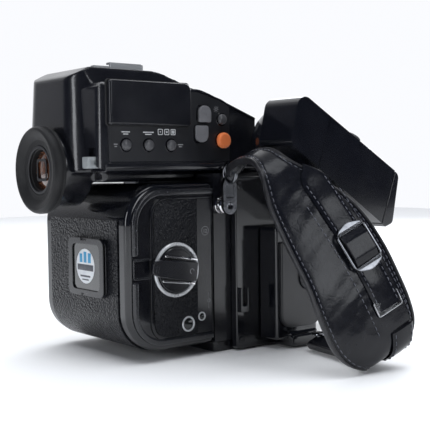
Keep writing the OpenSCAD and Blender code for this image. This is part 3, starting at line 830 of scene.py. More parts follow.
    def _crank(self) -> None:
        """Builds the winding hub with its two bars, and the folding arm."""
        frame_here = local_frame((0, *self.crank), ("X", self.crank_turn))
        hub = SHAPER.turned(
            "crank_disc", Axis.X, (0, 0), [(0, 37), (3, 37), (3, 44.4), (12.2, 44.4), (12.4, 44.6),
            (12.4, 45.7), (12.0, 46.1), (11.2, 46.1), (10.9, 45.8), (0, 45.8)], 64)
        SHAPER.settle(hub, frame_here)
        SHAPER.dress(hub, SATIN_BLACK, "crank", ("crank_hub",))
        for name, side in (("upper_bar", 1), ("lower_bar", -1)):
            cheek = SHAPER.plate(
                name + "_ear", Plane.YZ, [(6.6, side * 5.85, 0), (11.0, side * 5.85, 0),
                (11.0, side * 7.35, 0), (6.6, side * 7.35, 0)], 45.6, 48.6, 0.35)
            low, high = sorted((side * 5.85, side * 7.35))
            bar = SHAPER.block(name, (45.6, -9.4, low), (46.9, 10.4, high), 0.45)
            for piece in (cheek, bar):
                SHAPER.settle(piece, frame_here)
                SHAPER.dress(piece, CHROME, "crank")
        arm = SHAPER.plate(
            "crank_lever", Plane.YZ, [(-18.3, -3.2, 1.8), (-15.5, -3.9, 2), (-13.2, -4.6, 2), (0, -5.3, 6),
            (11.2, -5.3, 1), (11.2, 5.3, 1), (0, 5.3, 6), (-13.2, 4.6, 2), (-15.5, 3.9, 2),
            (-18.3, 3.2, 1.8)], 47.1, 49.3)
        SHAPER.soften(arm, 0.5, 3, 40)
        SHAPER.settle(arm, frame_here)
        SHAPER.dress(arm, SATIN_BLACK, "crank_handle", ("crank_arm",))
        for number, shift in enumerate((-16.6, -15.1)):
            rib = SHAPER.block(f"lever_rib_{number}", (49.0, shift, -2.4), (49.55, shift + 0.7, 2.4), 0.2)
            SHAPER.settle(rib, frame_here)
            SHAPER.dress(rib, SATIN_BLACK, "crank_handle")
        arrow = SHAPER.ring("turn_mark", Axis.X, (7.4, 0), 49.25, 49.35, 1.5, 1.2, 0.03, 24)
        SHAPER.cut(arrow, (49, 7.2, -2), (50, 10, 0.2))
        SHAPER.settle(arrow, frame_here)
        SHAPER.dress(arrow, PRINT_DIM, "crank_handle", weighted=False)

    def _marks(self) -> None:
        """Builds the printed frame count and the film-plane mark."""
        facing = local_frame((44.46, self.count[0], self.count[1] - 1.05), ("Z", 90), ("X", 90))
        SHAPER.dress(SHAPER.digits("count_number", "12", 2.1, facing), PRINT_DIM, weighted=False)
        SHAPER.dress(
            SHAPER.ring("count_circle", Axis.X, self.count, 44.44, 44.5, 2.5, 2.25, 0.02, 40), PRINT_DIM,
            weighted=False)
        SHAPER.dress(
            SHAPER.ring("film_plane_circle", Axis.X, (-39.5, 30.3), 44.44, 44.5, 1.0, 0.78, 0.02, 28),
            PRINT_DIM, weighted=False)
        SHAPER.dress(
            SHAPER.block("film_plane_line", (44.44, -39.6, 25.8), (44.5, -39.4, 34.8), 0.01), PRINT_DIM,
            weighted=False)

    def _memo(self) -> None:
        """Builds the memo holder on the back, its card and the round sticker."""
        holder = SHAPER.plate("memo_frame", Plane.XZ, frame_corners(-10.7, 34.5, 26.2, 66.5, 4), -96.6, -93.6)
        SHAPER.cut(holder, (-16, -95.9, 37), (27.2, -95, 64))
        SHAPER.punch(holder, Plane.XZ, frame_corners(-6.5, 38, 22, 63, 3), -98, -95.5)
        for low, high in (((3, -97.4, 65.2), (9, -95.9, 68)), ((3, -97.4, 33), (9, -95.9, 35.8))):
            SHAPER.cut(holder, low, high)
        SHAPER.soften(holder, 0.55, 3, 50)
        SHAPER.dress(holder, SATIN_BLACK, stands_for=("memo_holder",))
        card = SHAPER.block("memo_card_board", (-8.5, -95.7, 37.4), (24, -95.2, 63.6), 0.08)
        SHAPER.dress(card, DISPLAY, "card_body", ("memo_card",))
        x, z = self.sticker
        disc = SHAPER.rod("sticker", Axis.Y, (x, z), -95.78, -95.66, 9.6, 0.03, 64)
        SHAPER.dress(disc, STICKER_WHITE, "card_body")
        for number, (x0, z0, x1, z1, ink) in enumerate(
                ((0.4, 52.8, 3.4, 57.6, STICKER_BLUE), (4.8, 52.8, 7.8, 58.8, STICKER_BLUE),
                (9.2, 52.8, 12.4, 58.2, STICKER_BLUE), (-2.0, 48.4, 14.8, 51.8, STICKER_INK),
                (1.0, 44.8, 11.6, 45.8, STICKER_INK), (3.0, 43.0, 9.8, 43.7, STICKER_INK))):
            mark = SHAPER.block(f"sticker_bar_{number}", (x0, -95.82, z0), (x1, -95.76, z1), 0.01)
            SHAPER.dress(mark, ink, "card_body", weighted=False)

    def _top_latch(self) -> None:
        """Builds the grooved release slide on top."""
        slide = SHAPER.block("latch_slide", (-6.7, -61.7, 94.9), (6.7, -52, 97.6), 0.4)
        for number in range(4):
            start = -61.0 + number * 2.4
            slide = SHAPER.joined(slide, SHAPER.block("rib", (-5, start, 97.2), (5, start + 1.2, 98.4), 0.35))
        SHAPER.dress(slide, SATIN_CHROME, "magazine_catch", ("magazine_latch",))

    def _slide(self) -> None:
        """Builds the dark slide and its grip."""
        blade = SHAPER.plate(
            "slide_blade", Plane.XZ, frame_corners(-46, 21.2, 31.5, 80.8, 0.8), -38, -37.2, 0.1)
        SHAPER.dress(blade, STEEL, "slide", ("dark_slide",))
        grip = SHAPER.plate("slide_grip", Plane.XZ, frame_corners(-51, 36, -45.4, 66, 2.2), -39, -36.2, 0.7)
        SHAPER.punch(grip, Plane.XZ, frame_corners(-49.6, 44, -46.8, 58, 1.3), -42, -34)
        SHAPER.dress(grip, SATIN_BLACK, "slide")

    def _insert(self) -> None:
        """Builds the film insert's cover and key, and finishes the insert itself."""
        paint_node("film_insert", MATT_BLACK)
        for name, height in (("supply", 27.0), ("takeup", 75.0)):
            spool = SHAPER.turned(
                f"{name}_reel", Axis.X, (-73, height), [(2.56, -31), (12.2, -31), (12.5, -30.7),
                (12.5, -29.9), (12.2, -29.6), (5, -29.6), (5, 29.6), (12.2, 29.6), (12.5, 29.9), (12.5, 30.7),
                (12.2, 31), (2.56, 31)], 48)
            SHAPER.dress(spool, PANEL_BLACK, name, (f"{name}_spool",))
        skin = SHAPER.plate(
            "insert_leather", Plane.YZ, [(-86.6, 12.4, 15.6), (-44.4, 12.4, 2), (-44.4, 89.6, 2),
            (-86.6, 89.6, 15.6)], -44.4, -43.8, steps=10)
        SHAPER.bore(skin, Axis.X, self.key, -46, -42, 9.6, 0.1, 48)
        SHAPER.soften(skin, 0.2, 2, 50)
        SHAPER.dress(skin, LEATHERETTE, "insert")
        dial = SHAPER.turned(
            "key_dial", Axis.X, self.key, [(0, -41.5), (2, -41.5), (2, -44.4), (8.6, -44.4), (9, -44.8),
            (9, -45.6), (8.6, -46), (7.4, -46), (7.1, -45.7), (0, -45.7)], 56)
        SHAPER.dress(dial, SATIN_CHROME, "key", ("insert_key",))
        wing = SHAPER.plate(
            "key_wing", Plane.XY, [(-49, -69, 1.6), (-45.4, -70, 0.4), (-45.4, -54, 0.4), (-49, -55, 1.6)],
            49.8, 52.2, 0.4)
        SHAPER.dress(wing, SATIN_CHROME, "key")


# ---------------------------------------------------------------- body


@dataclass
class Body:
    """The mirror box: base, front, mount, lugs and what is inside it."""

    front: float = 26.5
    axis_height: float = 51.0
    lug: Point = (-30, 83)
    release: Point = (37.2, 15)
    catch_x: float = -37.8

    def build(self) -> None:
        """Builds and finishes the body."""
        for name, finish in {
                "body_shell": SATIN_BLACK, "tripod_bush": STEEL, "focusing_screen": SCREEN,
                "mirror_frame": MATT_BLACK, "mirror_glass": MIRROR, "upper_flap": MATT_BLACK,
                "lower_flap": MATT_BLACK}.items():
            paint_node(name, finish)
        self._base()
        self._leather()
        self._face()
        self._lugs()

    def _base(self) -> None:
        """Builds the base plate with its screws."""
        base = SHAPER.plate(
            "base_cover", Plane.XY, [(-43, -34.5, 3), (43, -34.5, 3), (43, 26, 5), (-43, 26, 5)], 0, 6)
        SHAPER.bore(base, Axis.Z, (0, 0), -1, 7, 5, 0.05, 48)
        SHAPER.soften(base, 0.7, 3, 50)
        SHAPER.dress(base, SATIN_BLACK, stands_for=("base_plate",))
        for number, (x, y) in enumerate(((-36, -28), (36, -28), (36, 19), (-36, 19))):
            self._screw(f"base_screw_{number}", x, y)

    def _screw(self, name: str, x: float, y: float) -> None:
        """Builds a cross-slotted screw head flush with the underside."""
        head = SHAPER.turned(
            name, Axis.Z, (x, y), [(0, 0.9), (2.2, 0.9), (2.2, 0.15), (1.9, 0.02), (0, 0.02)], 28)
        SHAPER.cut(head, (x - 1.4, y - 0.25, -0.2), (x + 1.4, y + 0.25, 0.5))
        SHAPER.cut(head, (x - 0.25, y - 1.4, -0.2), (x + 0.25, y + 1.4, 0.5))
        SHAPER.dress(head, STEEL)

    def _leather(self) -> None:
        """Builds the leather on the left side."""
        skin = SHAPER.plate("left_leather", Plane.YZ, frame_corners(-33, 10, 20, 97, 4), -44.8, -43.9)
        SHAPER.bore(skin, Axis.X, self.lug, -46, -43, 4.8, 0.05, 40)
        SHAPER.soften(skin, 0.25, 2, 50)
        SHAPER.dress(skin, LEATHERETTE, stands_for=("body_leather",))

    def _face(self) -> None:
        """Builds the front plate, the mount ring and the two front buttons."""
        plate = SHAPER.plate("front_cover", Plane.XZ, frame_corners(-41, 9, 41, 98, 6), self.front, 29)
        for (x, z), radius in (
                ((0, self.axis_height), 31.0), (self.release, 3.06),
                ((self.catch_x, self.axis_height), 2.06)):
            SHAPER.bore(plate, Axis.Y, (x, z), 25, 31, radius, 0.05, 64)
        SHAPER.soften(plate, 0.6, 3, 50)
        SHAPER.dress(plate, SATIN_BLACK, stands_for=("front_plate",))
        mount = SHAPER.ring("mount_bayonet", Axis.Y, (0, self.axis_height), 29, 31, 34, 28, 0.3, 96)
        SHAPER.dress(mount, CHROME, stands_for=("lens_mount_ring",))
        button = SHAPER.turned(
            "release_button", Axis.Y, self.release, [(0, 25.5), (3, 25.5), (3, 31), (4.3, 31), (4.5, 31.3),
            (4.5, 33.4), (4.1, 33.9), (3.2, 34), (1.6, 33.7), (0, 33.6)], 40)
        SHAPER.dress(button, SATIN_CHROME, "release_button", ("body_release",))
        catch = SHAPER.turned(
            "lens_catch_button", Axis.Y, (self.catch_x, self.axis_height),
            [(0, 27.8), (2, 27.8), (2, 30.5), (2.7, 30.5), (2.9, 30.7), (2.9, 32.1), (2.5, 32.5), (0, 32.3)],
            32)
        SHAPER.dress(catch, SATIN_CHROME, "lens_catch", ("lens_release",))

    def _lugs(self) -> None:
        """Builds the two strap lugs."""
        for name, side in (("right_lug", 1), ("left_lug", -1)):
            lug = SHAPER.turned(
                name, Axis.X, self.lug, [(0, side * 43.6), (4.6, side * 43.6), (4.6, side * 45.0),
                (4.4, side * 45.2), (2.6, side * 45.2), (2.4, side * 45.5), (2.4, side * 47.2),
                (2.8, side * 47.5), (4.2, side * 47.5), (4.4, side * 47.8), (4.3, side * 48.6),
                (3.6, side * 49.1), (0, side * 49.2)], 40)
            SHAPER.dress(lug, CHROME, stands_for=("strap_lugs",) if side > 0 else ())


# ---------------------------------------------------------------- finder


@dataclass
class Finder:
    """The prism finder with its control panel, eyepiece, shoe and roof plate."""

    half: float = 31.0
    rear: float = -113.0
    front: float = 22.0
    foot: float = 102.3
    roof: float = 158.5
    panel_face: float = 44.0
    eye_height: float = 104.0
    power: Point = (-28.5, 119.3)
    up_key: Point = (-41.6, 133.7)
    down_key: Point = (-43.7, 122.7)
    lamp: Point = (-32.4, 136.6)
    round_keys: tuple[tuple[str, float, float], ...] = (
        ("left_button", -92.4, 116.4), ("middle_button", -78.3, 116.4), ("right_button", -63.8, 116.4),
        ("light_button", -28.7, 131.1))

    def build(self) -> None:
        """Builds every piece of the finder."""
        paint_node("prism", LENS_GLASS)
        self._housing()
        self._panel()
        self._hood()
        self._keys()
        self._icons()
        self._eyepiece()
        self._shoe()
        self._roof()

    def _housing(self) -> None:
        """Builds the moulded housing with the eyepiece tube."""
        case = SHAPER.plate(
            "finder_case", Plane.YZ, [(self.rear, self.foot, 1), (self.front, self.foot, 1),
            (self.front, 116, 4), (-3.5, 130.7, 40), (-29, 147.4, 30), (-57, self.roof - 0.4, 20),
            (-101, self.roof, 8), (self.rear, 152, 8)], -40, 40, steps=8)
        front = SHAPER.plate(
            "tool", Plane.XZ, [(-35, 96, 0), (self.half, 96, 0), (self.half, 136, 14), (22.5, 160.5, 6),
            (-22.5, 160.5, 6), (-32.6, 136, 14)], -120, 30, steps=8)
        SHAPER.combine(case, front, "INTERSECT")
        plan = SHAPER.plate(
            "tool", Plane.XY, [(-35, self.rear, 15), (self.half, self.rear, 15), (self.half, self.front, 3),
            (-33, self.front, 3)], 96, 162, steps=10)
        with SHAPER.editing(plan, "FACE"):
            bpy.ops.mesh.select_all(action="DESELECT")
        for polygon in plan.data.polygons:
            polygon.select = polygon.normal.z > 0.9
        SHAPER.alone(plan)
        bpy.ops.object.mode_set(mode="EDIT")
        bpy.ops.transform.resize(value=(0.84, 0.97, 1.0), center_override=(0, -0.04, 0.162))
        bpy.ops.object.mode_set(mode="OBJECT")
        SHAPER.combine(case, plan, "INTERSECT")
        tube = SHAPER.rod("tool", Axis.Y, (0, self.eye_height), -115, -97.2, 20, 0.4, 72)
        SHAPER.joined(case, tube)
        SHAPER.joined(case, SHAPER.block("tool", (-30, -30, 101), (30, 21, 104), 0.3))
        SHAPER.joined(case, SHAPER.block("tool", (-29, -97, 97), (29, -35.6, 104), 2.0))
        SHAPER.moulded(case, 0.85, 3)
        SHAPER.cut(case, (-9, -65, 94), (9, -46, 100.5))
        SHAPER.bore(case, Axis.Y, (0, self.eye_height), -116, -99.5, 13.98, 0.1, 72)
        SHAPER.dress(case, SATIN_BLACK, stands_for=("finder_housing",), angle=50)

    def _panel(self) -> None:
        """Builds the control panel's body, its charcoal face, seams and lower rail."""
        body = SHAPER.plate(
            "panel_case", Plane.YZ, [(-107, 104, 3), (-3, 104, 1), (-3, 132.4, 1.5), (-43, 147.3, 14),
            (-104, 149, 4), (-107, 146, 3)], 24, self.panel_face, steps=8)
        plan = SHAPER.plate(
            "tool", Plane.XY, [(20, -107, 0), (self.panel_face, -107, 6), (self.panel_face, -3, 1.2),
            (20, -3, 0)], 100, 155, steps=8)
        SHAPER.combine(body, plan, "INTERSECT")
        section = SHAPER.plate(
            "tool", Plane.XZ, [(20, 100, 0), (self.panel_face, 100, 0), (self.panel_face, 147.4, 4.5),
            (30, 151.5, 0), (20, 151.5, 0)], -120, 10, steps=6)
        SHAPER.combine(body, section, "INTERSECT")
        SHAPER.soften(body, 0.7, 3, 42)
        for _, y, z in self.round_keys:
            SHAPER.bore(body, Axis.X, (y, z), 41, 46, 2.06, 0.02, 28)
        SHAPER.bore(body, Axis.X, self.power, 40, 46, 3.06, 0.02, 32)
        for low, high in (
                ((40.5, -44.6, 130.2), (46, -38.6, 137.2)), ((40.5, -46.7, 119.2), (46, -40.7, 126.2)),
                ((31.7, -112, 102), (38.3, -104.7, 115))):
            SHAPER.cut(body, low, high)
        SHAPER.dress(body, SATIN_BLACK, stands_for=("finder_panel",))
        face = SHAPER.plate(
            "panel_face", Plane.YZ, [(-102.6, 108, 0.8), (-23, 108, 0.8), (-23, 138.0, 1.5),
            (-29.5, 141.3, 6), (-45.5, 145.6, 8), (-52.6, 145.9, 1), (-52.6, 128, 1), (-102.6, 128, 1)], 43.7,
            44.3, steps=6)
        for _, y, z in self.round_keys:
            SHAPER.bore(face, Axis.X, (y, z), 42, 46, 3.35, 0.02, 36)
        SHAPER.bore(face, Axis.X, self.power, 42, 46, 4.8, 0.02, 40)
        for y, z in (self.up_key, self.down_key):
            SHAPER.punch(face, Plane.YZ, frame_corners(y - 4.7, z - 5, y + 4.7, z + 5, 2.2), 42, 46)
        SHAPER.soften(face, 0.12, 2, 50)
        SHAPER.dress(face, PANEL_BLACK)
        rim = SHAPER.plate(
            "panel_lip", Plane.YZ, [(-54, 146.4, 0.5), (-45, 146.8, 9), (-29, 142.2, 6), (-22.6, 139.2, 2),
            (-4, 132.3, 0.4), (-4, 131.3, 0.4), (-23, 138.2, 2), (-29.4, 141.2, 6), (-45, 145.7, 8),
            (-54, 145.4, 0.5)], 43.6, 44.7, 0.3, 5)
        SHAPER.dress(rim, GLOSS_BLACK)
        rail = SHAPER.plate(
            "lower_rail", Plane.XZ, [(29, 102.5, 0.5), (44.6, 102.5, 2.4), (44.6, 106.8, 1.2),
            (29, 106.8, 0.5)], -104.6, -3, 0.5, 5)
        SHAPER.dress(rail, SATIN_BLACK)

    def _hood(self) -> None:
        """Builds the display hood with its chamfered borders."""
        hood = SHAPER.plate(
            "display_hood", Plane.YZ, [(-103.5, 126.6, 1.2), (-51.6, 126.6, 2.2), (-51.6, 149.6, 4),
            (-103.5, 149.6, 2)], 43.5, 47.4, steps=6)
        SHAPER.soften(hood, 1.5, 3, 60)
        SHAPER.dress(hood, SATIN_BLACK, stands_for=("lcd_cover",))
        seam = SHAPER.plate(
            "hood_seam", Plane.YZ, frame_corners(-104.2, 125.9, -51.0, 150.2, 2.2), 43.4, 44.5, 0.2)
        SHAPER.dress(seam, MATT_BLACK)

    def _keys(self) -> None:
        """Builds the round keys, the two rockers, the power button and the latch."""
        bodies = {
            "left_button": "left_key", "middle_button": "middle_key", "right_button": "right_key",
            "light_button": "light_key"}
        for node, y, z in self.round_keys:
            key = SHAPER.turned(
                f"{node}_cap", Axis.X, (y, z), [(0, 41.6), (2, 41.6), (2, 44.6), (2.85, 44.6), (3, 44.8),
                (2.95, 45.3), (2.6, 45.9), (2.0, 46.25), (1.0, 46.45), (0, 46.5)], 40)
            SHAPER.dress(key, DARK_KEY, bodies[node], (node,))
            well = SHAPER.ring(f"{node}_collar", Axis.X, (y, z), 43.9, 44.45, 3.75, 3.3, 0.12, 40)
            SHAPER.dress(well, GLOSS_BLACK)
        for node, body, y, z, top, foot in (
                ("rocker_up", "up_key", *self.up_key, 4.0, 1.2), ("rocker_down", "down_key", *self.down_key,
                1.2, 4.0)):
            cap = SHAPER.plate(
                f"{node}_cap", Plane.YZ, [(y - 4.3, z - 4.6, foot), (y + 4.3, z - 4.6, foot),
                (y + 4.3, z + 4.6, top), (y - 4.3, z + 4.6, top)], 44.6, 46.4, steps=8)
            SHAPER.soften(cap, 0.5, 3, 50)
            SHAPER.cut(cap, (46.2, y - 1.6, z - 0.2), (47, y + 1.6, z + 0.2))
            SHAPER.dress(cap, KEY_GREY, body, (node,))
            stem = SHAPER.block(f"{node}_stem", (41.5, y - 2.9, z - 3.4), (44.8, y + 2.9, z + 3.4), 0.2)
            SHAPER.dress(stem, DARK_KEY, body)
        power = SHAPER.turned(
            "power_cap", Axis.X, self.power, [(0, 41), (3, 41), (3, 44.8), (4.1, 44.8), (4.4, 45.1),
            (4.4, 46.6), (4.25, 47.1), (3.8, 47.45), (3.2, 47.6), (2.2, 47.5), (0, 47.35)], 48)
        SHAPER.dress(power, ORANGE, "power_key", ("power_button",))
        latch = SHAPER.block("latch_key", (32, -111.5, 104.5), (38, -105, 110.5), 0.6)
        SHAPER.cut(latch, (37.2, -109.6, 106.2), (39, -106.6, 108.6))
        SHAPER.dress(latch, LATCH_GREY, "finder_catch", ("finder_latch",))

    def _icons(self) -> None:
        """Builds the small printed marks: plain frames, bars and a lamp sign."""
        level = (44.27, 44.33)
        for number, y in enumerate((-70.6, -66.4, -62.2)):
            mark = SHAPER.plate(
                f"key_frame_{number}", Plane.YZ, frame_corners(y - 1.6, 121.9, y + 1.6, 125.1, 0.6), *level)
            SHAPER.punch(mark, Plane.YZ, frame_corners(y - 1.2, 122.3, y + 1.2, 124.7, 0.4), 44, 45)
            SHAPER.dress(mark, PRINT_WHITE, weighted=False)
            size = (0.35, 0.6, 0.95)[number]
            dot = SHAPER.rod(f"key_dot_{number}", Axis.X, (y, 123.5), *level, size, 0.01, 20)
            SHAPER.dress(dot, PRINT_WHITE, weighted=False)
        for name, y, z, width in (
                ("left_bar", -92.4, 123.2, 2.6), ("middle_bar", -78.3, 123.2, 3.4),
                ("edge_bar", -98.6, 116.8, 1.2), ("outer_bar", -57.4, 116.8, 1.8)):
            for step, share in enumerate((1.0, 0.6)):
                bar = SHAPER.block(
                    f"{name}_{step}", (level[0], y - width * share, z - step * 1.1 - 0.25),
                    (level[1], y + width * share, z - step * 1.1 + 0.25), 0.01)
                SHAPER.dress(
                    bar, PRINT_WHITE if name in ("left_bar", "middle_bar") else PRINT_DIM,
                    weighted=False)
        lamp = SHAPER.ring("lamp_sign", Axis.X, self.lamp, *level, 0.9, 0.65, 0.01, 24)
        SHAPER.dress(lamp, PRINT_DIM, weighted=False)
        for number in range(8):
            turn = Matrix.Rotation(math.radians(45 * number), 4, "X")
            ray = SHAPER.block(f"lamp_ray_{number}", (level[0], -0.1, 1.2), (level[1], 0.1, 1.8), 0.01)
            SHAPER.settle(ray, local_frame((0, *self.lamp)) @ turn)
            SHAPER.dress(ray, PRINT_DIM, weighted=False)

    def _eyepiece(self) -> None:
        """Builds the rubber eyecup, its inner rings and the eyepiece glass."""
        cup = SHAPER.turned(
            "eye_rubber", Axis.Y, (0, self.eye_height), [(11.0, -106), (13.9, -106), (13.9, -115.2),
            (22.4, -115.3), (23.2, -115.6), (23.5, -116.2), (23.2, -117.0), (23.6, -117.8), (23.6, -119.6),
            (23.3, -121.0), (22.6, -122.0), (21.5, -122.5), (20.0, -122.3), (18.4, -121.4), (17.2, -120.4),
            (16.5, -119.9), (16.0, -119.6), (13.6, -119.5), (13.3, -119.1), (12.2, -118.4), (11.0, -118.0)],
            96)
        SHAPER.dress(cup, RUBBER, "eyepiece", ("eyecup",), angle=30)
        collar = SHAPER.ring("eye_collar", Axis.Y, (0, self.eye_height), -119.6, -118.7, 13.2, 11.6, 0.25, 80)
        SHAPER.dress(collar, PANEL_BLACK, "eyepiece")
        glass = SHAPER.turned(
            "eye_glass", Axis.Y, (0, self.eye_height), [(0, -112), (10.95, -112), (10.95, -115.4),
            (9.5, -116.0), (7.5, -116.6), (5, -117.0), (2.5, -117.2), (0, -117.25)], 72)
        SHAPER.dress(glass, AMBER_GLASS, "eyepiece", ("eyepiece_lens",), angle=60)
        lens = SHAPER.plate(
            "eye_frame", Plane.XZ, frame_corners(-5.4, 98.0, 5.4, 110.0, 1.6), -117.9, -117.5, 0.1)
        SHAPER.punch(lens, Plane.XZ, frame_corners(-4.2, 99.4, 4.2, 108.6, 1.2), -119, -116)
        SHAPER.dress(lens, GLOSS_BLACK, "eyepiece")

    def _shoe(self) -> None:
        """Builds the accessory shoe with its rails, stop and spring."""
        low = self.roof
        section = [
            (-10.5, low - 0.1, 0.3), (10.5, low - 0.1, 0.3), (10.5, low + 4.6, 0.5), (6.4, low + 4.6, 0.3),
            (6.4, low + 3.4, 0.2), (9.2, low + 3.4, 0.2), (9.2, low + 1.2, 0.2), (-9.2, low + 1.2, 0.2),
            (-9.2, low + 3.4, 0.2), (-6.4, low + 3.4, 0.2), (-6.4, low + 4.6, 0.3), (-10.5, low + 4.6, 0.5)]
        shoe = SHAPER.plate("shoe_rails", Plane.XZ, section, -80, -59.2, 0.2, 3)
        SHAPER.dress(shoe, SHOE_METAL, stands_for=("accessory_shoe",))
        stop = SHAPER.block("shoe_stop", (-10.5, -59.6, low - 0.1), (10.5, -58, low + 4.2), 0.4)
        SHAPER.dress(stop, SHOE_METAL)
        spring = SHAPER.plate(
            "shoe_spring", Plane.YZ, [(-79, low + 1.2, 0), (-60, low + 1.2, 0), (-60, low + 1.5, 0),
            (-66, low + 1.9, 6), (-72, low + 1.9, 6), (-79, low + 1.5, 0)], -8.2, 8.2, 0.1, 5)
        SHAPER.bore(spring, Axis.Z, (0, -69), low, low + 4, 3.4, 0.05, 40)
        SHAPER.dress(spring, STEEL)
        contact = SHAPER.rod("shoe_contact", Axis.Z, (0, -69), low + 1.1, low + 1.75, 1.7, 0.2, 28)
        SHAPER.dress(contact, BRASS)

    def _roof(self) -> None:
        """Builds the sloping roof plate with its three long ribs."""
        plate = SHAPER.plate(
            "roof_strip", Plane.YZ, [(-46.5, 153.4, 0), (-29, 146.5, 0), (-3.5, 129.9, 0), (12, 120.9, 0),
            (12, 123.5, 0.6), (-3.1, 132.4, 30), (-28.6, 149, 30), (-46, 155.8, 0.6)], -15, 15, 0.5, 8)
        SHAPER.dress(plate, SATIN_BLACK, stands_for=("roof_plate",))
        for number, x in enumerate((-10, 0, 10)):
            rib = SHAPER.plate(
                f"roof_rib_{number}", Plane.YZ, [(-43, 153, 0), (-28.6, 147.4, 20), (-3.1, 130.8, 20),
                (9, 124, 0), (9, 125.9, 0.5), (-3.1, 133.1, 30), (-28.6, 149.6, 30), (-43, 155.3, 0.5)],
                x - 0.8, x + 0.8, 0.35, 8)
            SHAPER.dress(rib, SATIN_BLACK)


# ---------------------------------------------------------------- lens


